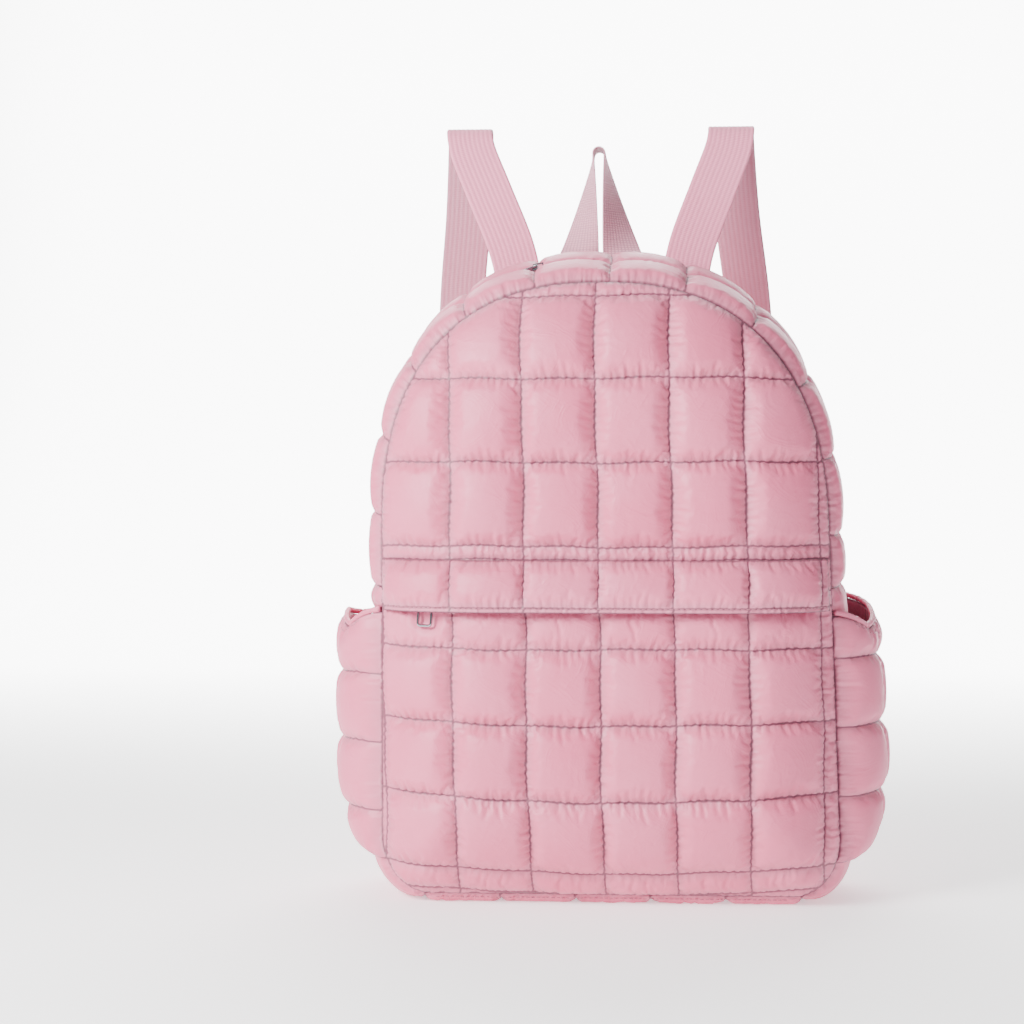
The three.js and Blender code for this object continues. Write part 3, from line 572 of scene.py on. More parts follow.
def on_flap(x, z, out):
    drop = np.clip((flap_top - z) / flap_height, 0, 1)
    fade = np.clip(depth_inside(seam, x, z) / 14, 0, 1) ** 0.6
    stand = wall + gap + 9.6 * np.sqrt(drop) * fade
    return np.column_stack([x, front_face(x, z) - stand - out, z])


def flap_stuffing(u, v, fade):
    return pillows(u, v, columns, flap_rows, 4.5 * 40 / 32, 13) * fade


pocket_flap = quilt("pocket_flap_quilt", columns, flap_rows, 1.25, on_flap, flap_stuffing, 23,
                    outline=flap_outline, slack=0.08, cap=2.5)
sewn_in(pocket_flap, "pocket_flap")

# Gusset: the long padded strip round the side and top, in two bands with the main zip between,
# and the base below them. Cross seams divide it into pillows.
seam_points = seam_outline(corner_steps=16, side_steps=12, arch_steps=60)
top_point = int(np.argmax(seam_points[:, 1]))
seam_round = np.roll(seam_points, -top_point, axis=0)[::-1]
seam_round = np.vstack([seam_points[top_point], seam_round])
seam_run = np.concatenate([[0], np.cumsum(np.hypot(*np.diff(seam_round, axis=0).T))])
seam_total = seam_run[-1]
band_length = 261.935
cross_pitch = 45.0
cross_offset = 6.0
groove_front = front_y + 35.0
groove_back = groove_front + 10.0


def seam_at(length):
    at = np.mod(length, seam_total)
    return np.interp(at, seam_run, seam_round[:, 0]), np.interp(at, seam_run, seam_round[:, 1])


def seam_normal(length):
    step = seam_total / 200
    ax, az = seam_at(length - step)
    bx, bz = seam_at(length + step)
    size = np.hypot(bx - ax, bz - az)
    return -(bz - az) / size, (bx - ax) / size


def on_gusset(length, y, out):
    x, z = seam_at(length)
    nx, nz = seam_normal(length)
    back = (y - front_y) / body_depth
    offset = out + 5.0 * (1 - (2 * back - 1) ** 2)
    height = z + rear_rise * back * rise_share(z) + nz * offset
    return np.column_stack([x + nx * offset, y, np.maximum(0.0, height)])


def cross_seams(start, end):
    first = math.ceil((start - cross_offset) / cross_pitch)
    last = math.floor((end - cross_offset) / cross_pitch)
    inside = [cross_offset + cross_pitch * k for k in range(first, last + 1)]
    least = cross_pitch / 3
    return [start] + [s for s in inside if s - start > least and end - s > least] + [end]


def gusset_strip(name, start, end, lines, side_puff, end_puff, end_share, step, seed, cap=3.0, roll=0.0):
    """One strip of the gusset, puffed between its edges and drawn in along its seams."""
    seams = cross_seams(start, end)

    def place(s, y, out):
        point = on_gusset(s, y, out - wall)
        if roll:
            # the seam allowance is turned into a soft roll under the front panel
            _, nz = seam_normal(s)
            edge = np.clip(1 - np.abs((y - front_y) / 9 - 0.5) * 2, 0, 1)
            point[:, 1] -= roll * np.clip(-nz, 0, 1) ** 2 * np.sqrt(edge)
        return point

    def stuffing(s, y, fade):
        _, nz = seam_normal(s)
        share = end_share(nz)
        puff = side_puff + (end_puff - side_puff) * share
        middle = np.clip(np.abs(2 * (y - lines[0]) / (lines[-1] - lines[0]) - 1), 0, 1)
        bulge = (1 - middle ** 3.2) ** 0.55
        _, _, along = cell_of(seams, s)
        swell = np.sin(math.pi * along) ** 0.6
        if len(lines) > 2:
            _, _, across = cell_of(lines, y)
            swell = swell * np.clip(np.sin(math.pi * across), 0, 1) ** 0.6
        return puff * bulge * (1 - 0.5 * (1 - swell))

    return quilt(name, seams, lines, step, place, stuffing, seed, cap=cap)


def top_share(nz):
    return np.maximum(0, nz) ** 2


front_band = gusset_strip("gusset_front_quilt", -band_length, band_length, [front_y + gap, groove_front],
                          6.0, 6.0, top_share, 1.4, 31, cap=2.0)
sewn_in(front_band, "gusset_front_band")
rear_lines = [groove_back, (groove_back + back_y) / 2, back_y - gap]
rear_band = gusset_strip("gusset_rear_quilt", -band_length, band_length, rear_lines,
                         6.0, 5.0, top_share, 1.7, 32, cap=2.0)
sewn_in(rear_band, "gusset_rear_band")
base_start = band_length + gap
base_band = gusset_strip("gusset_base_quilt", base_start, seam_total - base_start,
                         [front_y + gap, -18.0, 18.0, back_y - gap],
                         6.0, 6.0, lambda nz: np.maximum(0, -nz), 2.0, 33, roll=5.0)
sewn_in(base_band, "gusset_base")

# Back panel: the padded back that lies on the wearer, quilted in shallow squares.
# It is set higher than the front, so the top of the gusset slopes up to it.
back_pitch = 46.5
back_columns = [back_pitch * k for k in range(-3, 4)]
back_rows = [float(z) for z in np.linspace(seam_foot, body_height, 9)]
back_crown = 13.0


def on_back(x, z, out):
    return np.column_stack([x, back_y + fullness(x, z, back_crown) + out, z + rear_rise * rise_share(z)])


def back_stuffing(u, v, fade):
    return pillows(u, v, back_columns, back_rows, 4.0, 14) * fade


back_panel = quilt("back_panel_quilt", back_columns, back_rows, 2.1, on_back, back_stuffing, 24,
                   outline=seam, cap=2.0, slack=0.04, gather=0.5)
sewn_in(back_panel, "back_panel")

# Side pockets: open quilted pockets low on the gusset, gathered in at a bound rim.
# Their cloth bulges clear of the gusset, so the dark space behind the rim shows.
side_foot = 26.0
side_rim = 171.0
rim_stations = (0, 0.18, 0.5, 0.8, 1)
rim_over = {-1: (0.020, -0.040, 0, -0.020, -0.015), 1: (0.012, -0.040, 0, 0.036, 0.056)}
side_depth = body_depth - 2 * gap
turned_in = 3.0


def rim_height(side, back):
    return side_rim * (1 + np.interp(back, rim_stations, rim_over[side]))


def on_pocket(side, back, z, out):
    within = np.clip(back, 0, 1)
    round_share = np.clip(1 - np.abs(2 * within - 1) ** 2.6, 0, 1) ** 0.7
    rise = np.clip((z - side_foot) / 55.0, 0, 1)
    reach = 0.9 + (11.0 + 15.0 * (1 - (1 - rise) ** 2)) * round_share + out
    # past either end the cloth turns in to the body's seam
    past = np.clip(np.abs(back - within) * side_depth / turned_in, 0, 1)
    reach = reach * (1 - past)
    y = front_y + gap + within * side_depth + np.where(back < 0, -1, 1) * 1.6 * past
    return np.column_stack([side * (half_width(z) + reach), y, z])


def side_pocket(name, side, first_row, seed):
    rows = [side_foot, first_row, first_row + 41, first_row + 82, side_rim]
    lines = [-turned_in, side_depth / 3, side_depth * 2 / 3, side_depth + turned_in]
    last = rows[-2]

    def place(run, level, out):
        back = run / side_depth
        top = last + (level - last) * (rim_height(side, back) - last) / (side_rim - last)
        return on_pocket(side, back, np.where(level <= last, level, top), out)

    def stuffing(run, level, fade):
        return pillows(run, level, lines, rows, 5.0, seed + 5)

    return quilt(name, lines, rows, 1.6, place, stuffing, seed, cap=2.5, slack=0.06)


left_pocket = side_pocket("side_pocket_left_quilt", -1, 55.0, 41)
sewn_in(left_pocket, "side_pocket_left")
right_pocket = side_pocket("side_pocket_right_quilt", 1, 66.0, 42)
sewn_in(right_pocket, "side_pocket_right")

# Pocket rims: a turned edge of the same nylon, bound over elastic and finely gathered.
rim_radius = 1.7
rim_sides = 12


def ring_body(name, sections, material, attributes, cut):
    """A closed body through like sections of points, (stations, round, 3) in millimetres."""
    stations, size, _ = sections.shape
    points = sections.reshape(-1, 3)
    faces = []
    for i in range(stations - 1):
        for k in range(size):
            k2 = (k + 1) % size
            faces.append((i * size + k, i * size + k2, (i + 1) * size + k2, (i + 1) * size + k))
    faces.append(tuple(range(size - 1, -1, -1)))
    faces.append(tuple((stations - 1) * size + k for k in range(size)))
    middle = sections.mean(axis=1)
    sample = stations // 2
    a, b, c = (points[k] for k in faces[sample * size][:3])
    if np.dot(np.cross(b - a, c - a), a - middle[sample]) < 0:
        faces = [tuple(reversed(face)) for face in faces]
    return mesh_object(name, placed(points), faces, material, attributes, cut.reshape(-1, 2))


def pocket_rim(name, side, seed):
    back = np.linspace(0, 1, 150)
    rng = np.random.default_rng(seed)
    fold = sum(np.sin(back * side_depth * 2 * math.pi / size + rng.random() * 6.28)
               for size in (2.6, 3.7, 5.9))
    height = rim_height(side, back) + gap + rim_radius
    sections = []
    for turn in np.linspace(0, 2 * math.pi, rim_sides, endpoint=False):
        radius = rim_radius * (0.98 + 0.06 * fold)
        line = on_pocket(side, back, height, wall / 2 + radius * math.cos(turn))
        line[:, 2] += radius * math.sin(turn)
        sections.append(line)
    sections = np.stack(sections, axis=1)
    cut = np.empty(sections.shape[:2] + (2,))
    cut[..., 0] = (back * side_depth)[:, None]
    cut[..., 1] = np.arange(rim_sides) * rim_radius * 2 * math.pi / rim_sides
    count = len(back) * rim_sides
    # no stitched line shows on the binding, and its folds stand across it
    return ring_body(name, sections, nylon, {"near": np.full(count, 6.0), "upright": np.zeros(count)}, cut)


left_rim = pocket_rim("pocket_rim_left_binding", -1, 51)
sewn_in(left_rim, "pocket_rim_left")
right_rim = pocket_rim("pocket_rim_right_binding", 1, 52)
sewn_in(right_rim, "pocket_rim_right")

# Shoulder straps: ribbed nylon webbing, sewn to the back panel above and below.
# Each rises in a soft bow over the shoulder and comes down to the foot of the back.
strap_width = 30.0
strap_thickness = 2.0
rib_pitch = 3.0
rib_depth = 0.28
strap_foot = {-1: (53.0, 67.59, 368.0), 1: (53.0, 65.14, 368.0)}
strap_low = {-1: (109.0, 69.48, 24.0), 1: (109.0, 69.88, 24.0)}
strap_centre = -2.0
strap_top = 485.0
strap_top_x = 86.0
strap_bow = 62.0
strap_bend = 8.0
strap_route = [(0, 0, 0), (0.03, 0, 0.14), (0.17, 0.04, 0.34), (0.60, 0.12, 0.68), (0.93, 0.24, 0.94)]
strap_fall = [(0.14, 0.62, 0.90), (0.42, 0.86, 0.78), (0.66, 1, 0.58), (0.84, 0.86, 0.36),
              (0.95, 0.50, 0.17), (0.98, 0.14, 0.055), (1, 0, 0.03), (1, 0, 0)]


def smooth_route(points, count):
    """Even stations on a centripetal curve through the points, with its direction at each."""
    points = np.array(points, float)
    ends = np.vstack([2 * points[0] - points[1], points, 2 * points[-1] - points[-2]])
    fine = []
    for k in range(len(points) - 1):
        p0, p1, p2, p3 = ends[k:k + 4]
        d0, d1, d2 = (max(1e-4, np.linalg.norm(b - a) ** 0.5)
                      for a, b in ((p0, p1), (p1, p2), (p2, p3)))
        m1 = (p1 - p0) / d0 - (p2 - p0) / (d0 + d1) + (p2 - p1) / d1
        m2 = (p2 - p1) / d1 - (p3 - p1) / (d1 + d2) + (p3 - p2) / d2
        m1, m2 = m1 * d1, m2 * d1
        t = np.linspace(0, 1, 60, endpoint=False)[:, None]
        fine.append(p1 + m1 * t + (3 * (p2 - p1) - 2 * m1 - m2) * t ** 2
                    + (2 * (p1 - p2) + m1 + m2) * t ** 3)
    fine = np.vstack(fine + [points[-1:]])
    run = np.concatenate([[0], np.cumsum(np.linalg.norm(np.diff(fine, axis=0), axis=1))])
    at = np.linspace(0, run[-1], count)
    line = np.column_stack([np.interp(at, run, fine[:, k]) for k in range(3)])
    along = np.gradient(line, axis=0)
    return line, along / np.linalg.norm(along, axis=1, keepdims=True)


def webbing_finish(name, colour, wrong_side_and_shade, groove_shade, rib, roughness, cut_map=True):
    """Woven nylon webbing: thick filament yarn with matt crowns, with painted shade darkening the grooves
    between its ribs and its wrong side.
    """
    material, tree = new_material(name)
    place = add_node(tree, "ShaderNodeTexCoord")
    if cut_map:
        cut = add_node(tree, "ShaderNodeUVMap", {"uv_map": "cut_mm"})
    else:
        # a CAD solid has no cut map, so its weave is laid out in millimetres of its own place
        scaled = add_node(tree, "ShaderNodeMapping", {}, {"Scale": (1000, 1000, 1000)},
                          {"Vector": (place, "Object")})
        split = add_node(tree, "ShaderNodeSeparateXYZ", {}, {}, {"Vector": (scaled, "Vector")})
        run = add_node(tree, "ShaderNodeMath", {"operation": "ADD"}, {}, {0: (split, "X"), 1: (split, "Z")})
        cut = add_node(tree, "ShaderNodeCombineXYZ", {}, {}, {"X": (split, "Y"), "Y": (run, "Value")})
    fibre = add_node(tree, "ShaderNodeTexNoise", {}, {"Scale": 900.0, "Detail": 3.0},
                     {"Vector": (place, "Object")})
    picks = add_node(tree, "ShaderNodeTexWave", {"wave_type": "BANDS", "bands_direction": "Y"},
                     {"Scale": 2 * math.pi / (20 * rib), "Distortion": 0.8, "Detail": 1.0},
                     {"Vector": (cut, "UV" if cut_map else "Vector")})
    ribs = add_node(tree, "ShaderNodeAttribute", {"attribute_name": "rib_groove_shade"})
    tone = mixed(tree, (fibre, "Fac"), colour)
    # the wrong side of the webbing is painted darker and duller, as painted shade on the straps' rear legs
    under = add_node(tree, "ShaderNodeAttribute", {"attribute_name": "wrong_side"})
    underside_shaded = mixed(tree, (under, "Fac"), (None, wrong_side_and_shade), {"Color1": (tone, "Color")})
    # painted shade in the grooves between the ribs, from the band's groove-depth attribute
    shaded = mixed(tree, (ribs, "Fac"), (None, groove_shade), {"Color1": (underside_shaded, "Color")})
    yarn = add_node(tree, "ShaderNodeBump", {}, {"Strength": 0.5, "Distance": 0.00018},
                    {"Height": (picks, "Fac")})
    fluff = add_node(tree, "ShaderNodeBump", {}, {"Strength": 0.3, "Distance": 0.0001},
                     {"Height": (fibre, "Fac"), "Normal": (yarn, "Normal")})
    add_surface(tree, {"Roughness": roughness, "Sheen Weight": 0.3, "Sheen Roughness": 0.5,
                       "Sheen Tint": linear("#FFE9F0")},
                {"Base Color": (shaded, "Color"), "Normal": (fluff, "Normal")})
    return material


# the third colour is painted shade on the strap's wrong side, the fourth painted shade in its rib grooves
strap_webbing = webbing_finish("ribbed_nylon_webbing", ("#EC86A6", "#F195B1"), "#B97E90", "#A85069",
                               1.2, 0.6)


def webbing_band(name, line, across, face, width, thickness, relief, material, lanes, shade):
    """A flat woven band through stations, with its weave as relief on both faces."""
    share = np.linspace(-1, 1, lanes)
    run = np.concatenate([[0], np.cumsum(np.linalg.norm(np.diff(line, axis=0), axis=1))])
    offset = share * width / 2
    # the last millimetre at each side is rounded, and never thinner than the yarn
    selvedge = np.clip(np.abs(offset) - (width / 2 - 1), 0, 1)
    edge = np.sqrt(np.clip(1 - selvedge ** 2, 0.15, 1))
    height = relief(offset[None, :], run[:, None])
    half = np.maximum(thickness / 2 * edge[None, :] - height * 0.999, 0.25)
    middle = line[:, None] + across[:, None] * offset[None, :, None]
    out = face[:, None] * half[..., None]
    sections = np.concatenate([middle + out, (middle - out)[:, ::-1]], axis=1)
    depth = np.concatenate([height, height[:, ::-1]], axis=1)
    # painted shade: the weave's grooves are darkened in proportion to their depth
    groove_shade = np.clip(depth / depth.max(), 0, 1) * shade
    # the wrong face is marked for the painted shade of the webbing's underside
    wrong_side = np.broadcast_to(np.repeat([0.0, 1.0], lanes), groove_shade.shape)
    cut = np.empty(sections.shape[:2] + (2,))
    cut[..., 0] = np.concatenate([offset, offset[::-1] + width])
    cut[..., 1] = run[:, None]
    band = ring_body(name, sections, material,
                     {"rib_groove_shade": groove_shade.ravel(), "wrong_side": wrong_side.ravel()}, cut)
    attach(band, "bag")
    return band


def shoulder_strap(name, side):
    foot_x, foot_y, foot_z = strap_foot[side]
    low_x, low_y, low_z = strap_low[side]
    rise = strap_top - strap_bend - foot_z
    up = [(foot_x + (strap_top_x - foot_x) * out, foot_y + strap_bow * back, foot_z + rise * level)
          for out, back, level in strap_route]
    turn_y = foot_y + strap_bow * 0.3 + strap_bend
    over = [(strap_top_x, turn_y - strap_bend * math.cos(t * math.pi),
             strap_top - strap_bend + strap_bend * math.sin(t * math.pi)) for t in (0.25, 0.5, 0.75)]
    fall = strap_top - strap_bend - low_z
    down = [(strap_top_x + (low_x - strap_top_x) * out, low_y + strap_bow * back, low_z + fall * level)
            for out, back, level in strap_fall]
    line, along = smooth_route(up + over + down, 330)
    across = np.array([1.0, 0, 0]) - along * along[:, :1]
    across /= np.linalg.norm(across, axis=1, keepdims=True)
    face = np.cross(across, along)
    face /= np.linalg.norm(face, axis=1, keepdims=True)
    mirror = np.array([side, 1, 1])

    def ribs(offset, run):
        wave = 0.5 - 0.5 * np.cos(2 * math.pi * (offset + strap_width / 2) / rib_pitch)
        return rib_depth * (1 - wave) ** 2 + 0 * run

    middle = line * mirror + np.array([strap_centre, 0, 0])
    return webbing_band(name, middle, across * mirror, face * mirror, strap_width, strap_thickness,
                        ribs, strap_webbing, 41, 0.35)


left_strap = shoulder_strap("shoulder_strap_left_webbing", -1)
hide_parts("shoulder_strap_left")
right_strap = shoulder_strap("shoulder_strap_right_webbing", 1)
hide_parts("shoulder_strap_right")

# Haul loop: a paler waffle-woven tape between the straps, its two ends side by side.
# It turns edge on as it rises, so the two legs meet in a narrow bend at the top.
loop_width = 25.0
loop_thickness = 1.6
loop_foot_y = 67.86
loop_foot_z = 372.0
loop_top = 469.0
loop_bend = 3.7
loop_centre = -2.3
loop_flat_share = 0.32
loop_parting = 2.6
waffle_pitch = 1.6
waffle_depth = 0.38
# the third colour is painted shade on the loop's wrong side, the fourth painted shade in its waffle grooves
loop_webbing = webbing_finish("waffle_nylon_webbing", ("#E09FB2", "#E8ACBD"), "#B07F8B", "#95596A",
                              waffle_pitch, 0.7)


def haul_loop():
    straight = loop_top - loop_bend - loop_foot_z
    t = np.linspace(0, 1, 200)
    turn = np.clip((t - loop_flat_share) / (1 - loop_flat_share), 0, 1)
    angle = np.arccos(1 - turn)
    beside = loop_thickness / 2 + gap
    x = loop_width / 2 * np.cos(angle) + beside + (loop_bend - beside) * t ** loop_parting
    z = loop_foot_z + straight * t

    def stations(x, z, angle, tilt, hand):
        line = np.column_stack([loop_centre + x, loop_foot_y + loop_width / 4 * np.sin(angle), z])
        across = np.column_stack([np.cos(angle) * hand, np.sin(angle), 0 * x])
        face = np.column_stack([np.sin(angle) * np.cos(tilt) * hand, -np.cos(angle), np.sin(tilt)])
        return line, across, face / np.linalg.norm(face, axis=1, keepdims=True)

    left = stations(-x, z, angle, 0 * x, -1)
    bend = np.linspace(0, 1, 16)[1:-1] * math.pi
    first_half = bend < math.pi / 2
    over = stations(-loop_bend * np.cos(bend), loop_top - loop_bend + loop_bend * np.sin(bend),
                    np.full(len(bend), math.pi / 2), np.where(first_half, bend, math.pi - bend),
                    np.where(first_half, -1, 1))
    right = stations(x[::-1], z[::-1], angle[::-1], 0 * x, 1)
    line, across, face = (np.vstack(parts) for parts in zip(left, over, right))

    def waffle(offset, run):
        a = 0.5 + 0.5 * np.cos(2 * math.pi * offset / (waffle_pitch * 1.4))
        b = 0.5 + 0.5 * np.cos(2 * math.pi * run / waffle_pitch)
        return waffle_depth * np.maximum(a, b) ** 2

    return webbing_band("haul_loop_webbing", line, across, face, loop_width, loop_thickness, waffle,
                        loop_webbing, 45, 0.6)


haul = haul_loop()
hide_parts("haul_loop")

# Zip sliders and pull rings: die-cast and polished, with a mirror-like nickel plate.
steel, steel_tree = new_material("polished_nickel")
steel_place = add_node(steel_tree, "ShaderNodeTexCoord")
steel_rub = add_node(steel_tree, "ShaderNodeTexNoise", {}, {"Scale": 1400.0, "Detail": 2.0},
                     {"Vector": (steel_place, "Object")})
steel_gloss = add_node(steel_tree, "ShaderNodeMapRange", {}, {"To Min": 0.14, "To Max": 0.28},
                       {"Value": (steel_rub, "Fac")})
add_surface(steel_tree, {"Base Color": linear("#9C9CA1"), "Metallic": 1.0},
            {"Roughness": (steel_gloss, "Result")})


def refinish(material, *nodes):
    """Gives CAD pieces that show as they are their real finish."""
    for node in nodes:
        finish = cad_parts[node].data.materials
        finish.clear()
        finish.append(material)


refinish(steel, "pocket_zip_slider", "pocket_pull_ring", "main_zip_slider", "main_pull_ring")

# Zips: a woven tape with a nylon coil, in the slot over the pocket and in the gusset's groove.
tape = webbing_finish("zip_tape_nylon", ("#D4829A", "#DB8FA6"), "#A9606F", "#8A4458", 0.7, 0.7,
                      cut_map=False)
refinish(tape, "pocket_zip", "main_zip")
zip_coil = webbing_finish("zip_coil_nylon", ("#D98CA2", "#E09AAF"), "#A9606F", "#8A4458", 0.5, 0.4,
                          cut_map=False)


def short_rods(name, centres, along, out, length, radius, material):
    """Many like short rods with rounded ends as one mesh, such as stitches or the turns of a coil."""
    along = along / np.linalg.norm(along, axis=1, keepdims=True)
    side = np.cross(along, out)
    side /= np.linalg.norm(side, axis=1, keepdims=True)
    up = np.cross(side, along)
    turns = np.linspace(0, 2 * math.pi, 6, endpoint=False)
    points = [centres + along * share * length
              + (side * math.cos(turn) + up * math.sin(turn)) * thick * radius
              for share, thick in ((-0.5, 0.45), (-0.32, 1.0), (0.32, 1.0), (0.5, 0.45)) for turn in turns]
    points = np.stack(points, axis=1).reshape(-1, 3)
    one = [(6 * row + k, 6 * row + (k + 1) % 6, 6 * row + 6 + (k + 1) % 6, 6 * row + 6 + k)
           for row in range(3) for k in range(6)]
    one += [tuple(range(5, -1, -1)), tuple(range(18, 24))]
    faces = [tuple(24 * n + k for k in face) for n in range(len(centres)) for face in one]
    rods = mesh_object(name, points, faces, material)
    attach(rods, "bag")
    return rods


def along_line(line, pitch):
    """Even places along a line of points, with the line's direction at each."""
    run = np.concatenate([[0], np.cumsum(np.linalg.norm(np.diff(line, axis=0), axis=1))])
    at = np.arange(pitch / 2, run[-1], pitch)
    spots = np.column_stack([np.interp(at, run, line[:, k]) for k in range(3)])
    ahead = np.column_stack([np.interp(at + pitch / 4, run, line[:, k]) for k in range(3)])
    return spots, ahead - spots + 1e-9


tooth_pitch = 1.5
tooth_width = 3.0
tooth_thick = 0.5
lengths = np.arange(-band_length + tooth_pitch, band_length - tooth_pitch, tooth_pitch)
middle_y = np.full(len(lengths), (groove_front + groove_back) / 2)
main_coil_rise = 1.15
coil_line = placed(on_gusset(lengths, middle_y, np.full(len(lengths), main_coil_rise)))
coil_under = placed(on_gusset(lengths, middle_y, np.zeros(len(lengths))))
short_rods("main_zip_teeth", coil_line, np.tile([0.0, 1.0, 0.0], (len(lengths), 1)), coil_line - coil_under,
           tooth_width / 1000, tooth_thick / 1000, zip_coil)
slot_z = pocket_top + 4.0
slot_end = float(half_width(slot_z)) - 2
pocket_coil_rise = 2.35
slot_x = np.linspace(-slot_end, slot_end, 600)
slot_line = on_front(slot_x, np.full(len(slot_x), slot_z), np.full(len(slot_x), pocket_coil_rise))
teeth, _ = along_line(placed(slot_line), tooth_pitch / 1000)
short_rods("pocket_zip_teeth", teeth, np.tile([0.0, 0.0, 1.0], (len(teeth), 1)),
           np.tile([0.0, -1.0, 0.0], (len(teeth), 1)), tooth_width / 1000, tooth_thick / 1000,
           zip_coil)

# Stitching: spun polyester thread in the nylon's colour, sunk a little into the padding.
# It holds the flap's hem, the pocket rims, the bottom roll and the webbing's sewn feet.
thread, thread_tree = new_material("spun_polyester_thread")
thread_place = add_node(thread_tree, "ShaderNodeTexCoord")
thread_twist = add_node(thread_tree, "ShaderNodeTexNoise", {}, {"Scale": 2500.0, "Detail": 1.0},
                        {"Vector": (thread_place, "Object")})
thread_tone = mixed(thread_tree, (thread_twist, "Fac"), ("#A9556C", "#C67A90"))
thread_bump = add_node(thread_tree, "ShaderNodeBump", {}, {"Strength": 0.4, "Distance": 0.0001},
                       {"Height": (thread_twist, "Fac")})
add_surface(thread_tree, {"Roughness": 0.65, "Sheen Weight": 0.2},
            {"Base Color": (thread_tone, "Color"), "Normal": (thread_bump, "Normal")})


def surface_of(*pieces):
    points, faces = [], []
    for piece in pieces:
        first = len(points)
        points += [vertex.co.copy() for vertex in piece.data.vertices]
        faces += [tuple(first + k for k in face.vertices) for face in piece.data.polygons]
    return BVHTree.FromPolygons(points, faces)


def sewn_row(name, surface, line, way, pitch=3.2, length=2.3, radius=0.28):
    """A row of stitches where a line of points, sent along a direction, meets the cloth."""
    found, facing = [], []
    for start in placed(line):
        place, normal, _, _ = surface.ray_cast(Vector(start), Vector(way))
        if place is not None:
            found.append(place[:])
            facing.append(normal[:] if normal.dot(Vector(way)) < 0 else (-normal)[:])
    found, facing = np.array(found), np.array(facing)
    spots, along = along_line(found, pitch / 1000)
    nearest = np.argmin(((spots[:, None] - found[None]) ** 2).sum(axis=2), axis=1)
    out = facing[nearest]
    return short_rods(name, spots + out * radius / 1000 * 0.3, along, out, length / 1000, radius / 1000,
                      thread)


far = 200.0
# name, cloth, half the row's length, its height and its number of probes
for name, cloth, reach, height, count in (("flap_hem_stitches", pocket_flap, 131, flap_hem + 2.6, 400),
                                          ("bottom_roll_stitches", base_band, 106, 3.4, 300)):
    across = np.linspace(-reach, reach, count)
    level = np.column_stack([across, np.full(count, -far), np.full(count, height)])
    sewn_row(name, surface_of(cloth), level, (0, 1, 0))
below_rim = 3.0
rim_back = np.linspace(0.04, 0.96, 160)
for side, cloth, label in ((-1, left_pocket, "left"), (1, right_pocket, "right")):
    rim_line = np.column_stack([np.full(160, side * far), front_y + gap + rim_back * side_depth,
                                rim_height(side, rim_back) - below_rim])
    sewn_row("rim_stitches_" + label, surface_of(cloth), rim_line, (-side, 0, 0), pitch=2.8, length=2.0)


def box_line(x, z, wide, tall):
    """A sewn box with its two diagonals, as one line."""
    corners = [(-1, -1), (1, -1), (1, 1), (-1, 1), (-1, -1), (1, 1), (1, -1), (-1, 1)]
    line = []
    for (ax, az), (bx, bz) in zip(corners, corners[1:]):
        t = np.linspace(0, 1, 40)[:, None]
        a, b = (np.array([x + px * wide / 2, far, z + pz * tall / 2]) for px, pz in ((ax, az), (bx, bz)))
        line.append(a + (b - a) * t)
    return np.vstack(line)


straps = ((-1, left_strap, "left"), (1, right_strap, "right"))
# name, webbing, middle across, middle height, width and height of each sewn box
boxes = [(name + label, strap, strap_centre + side * place[side][0], z, 23, 18)
         for side, strap, label in straps
         for name, place, z in (("strap_foot_stitches_", strap_foot, 380.0),
                                ("strap_end_stitches_", strap_low, 36.0))]
boxes += [("loop_foot_stitches_" + label, haul, loop_centre + side * 13.2, 380.0, 18, 12)
          for side, _, label in straps]
for name, band, x, z, wide, tall in boxes:
    sewn_row(name, surface_of(band), box_line(x, z, wide, tall), (0, -1, 0), pitch=2.8, length=2.1)

# Floor and light: a seamless pale studio sweep that glows, brightest behind the bag, a large soft key from
# the upper left, a weak fill from the right and a soft light overhead.
floor_finish, floor_tree = new_material("matt_white_sweep")
floor_place = add_node(floor_tree, "ShaderNodeTexCoord")
floor_split = add_node(floor_tree, "ShaderNodeSeparateXYZ", {}, {}, {"Vector": (floor_place, "Object")})
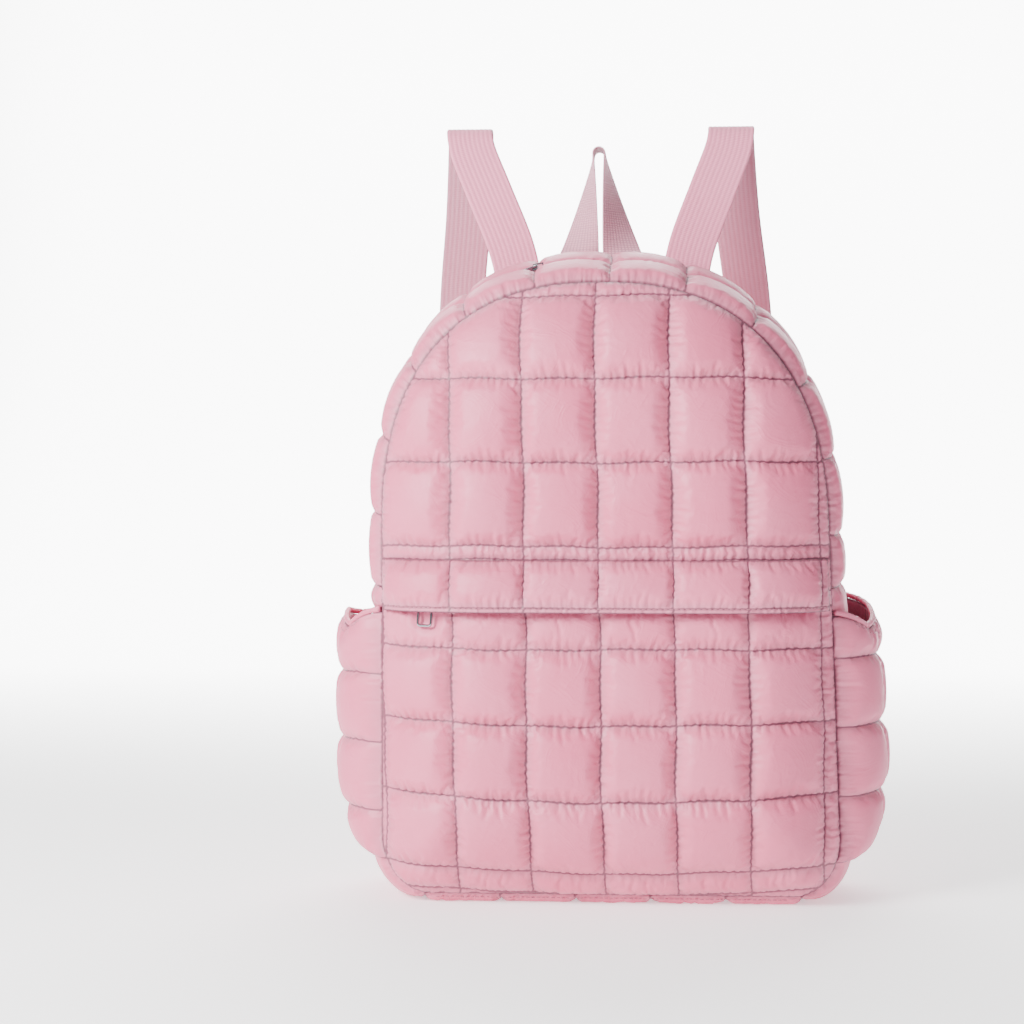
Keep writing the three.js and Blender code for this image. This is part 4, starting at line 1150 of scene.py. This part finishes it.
# the sweep glows with painted light, faintly in front and far brighter behind the bag and near the middle,
# so that it throws little light on the bag's sides
beyond = eased(floor_tree, floor_split, "Y", (0.2, 2.2), (0.7, 8.0))
aside = add_node(floor_tree, "ShaderNodeMath", {"operation": "ABSOLUTE"}, {}, {0: (floor_split, "X")})
middle = eased(floor_tree, aside, "Value", (0.9, 1.7), (1.0, 0.0))
glow = add_node(floor_tree, "ShaderNodeMath", {"operation": "MULTIPLY"}, {},
                {0: (beyond, "Result"), 1: (middle, "Result")})
add_surface(floor_tree, {"Base Color": linear("#FAFAFA"), "Roughness": 0.9,
                         "Emission Color": linear("#FFFFFF")},
            {"Emission Strength": (glow, "Value")})
sweep_front, sweep_turn, sweep_radius, sweep_height, sweep_half_width = -4.0, 1.6, 0.9, 4.0, 6.0
sweep_profile = [(sweep_front, 0.0), (sweep_turn, 0.0)]
sweep_profile += [(sweep_turn + sweep_radius * math.sin(a), sweep_radius * (1 - math.cos(a)))
                  for a in np.linspace(0.1, math.pi / 2, 14)]
sweep_profile += [(sweep_turn + sweep_radius, sweep_height)]
sweep_points = np.array([(side * sweep_half_width, y, z) for y, z in sweep_profile for side in (-1, 1)])
sweep_faces = [(2 * k, 2 * k + 1, 2 * k + 3, 2 * k + 2) for k in range(len(sweep_profile) - 1)]
sweep = mesh_object("studio_sweep", sweep_points, sweep_faces, floor_finish)

world = bpy.data.worlds.new("studio")
world.use_nodes = True
sky = world.node_tree.nodes["Background"].inputs
sky["Color"].default_value = (1, 1, 1, 1)
sky["Strength"].default_value = 0.4
bpy.context.scene.world = world


def soft_light(name, place, aim, size, power):
    data = bpy.data.lights.new(name, "AREA")
    data.shape = "RECTANGLE"
    data.size, data.size_y = size
    data.energy = power
    lamp = bpy.data.objects.new(name, data)
    lamp.location = place
    way = np.array(aim) - np.array(place)
    lamp.rotation_euler = (math.acos(-way[2] / np.linalg.norm(way)), 0, math.atan2(-way[0], way[1]))
    bpy.context.collection.objects.link(lamp)


soft_light("key", (-0.95, -1.0, 0.8), (-0.02, 0, 0.26), (0.6, 0.6), 49)
soft_light("fill", (1.2, -2.2, 0.9), (0, 0, 0.2), (1.4, 1.4), 2)
soft_light("top", (-0.3, -0.2, 2.4), (0, 0, 0), (2.0, 2.0), 8)
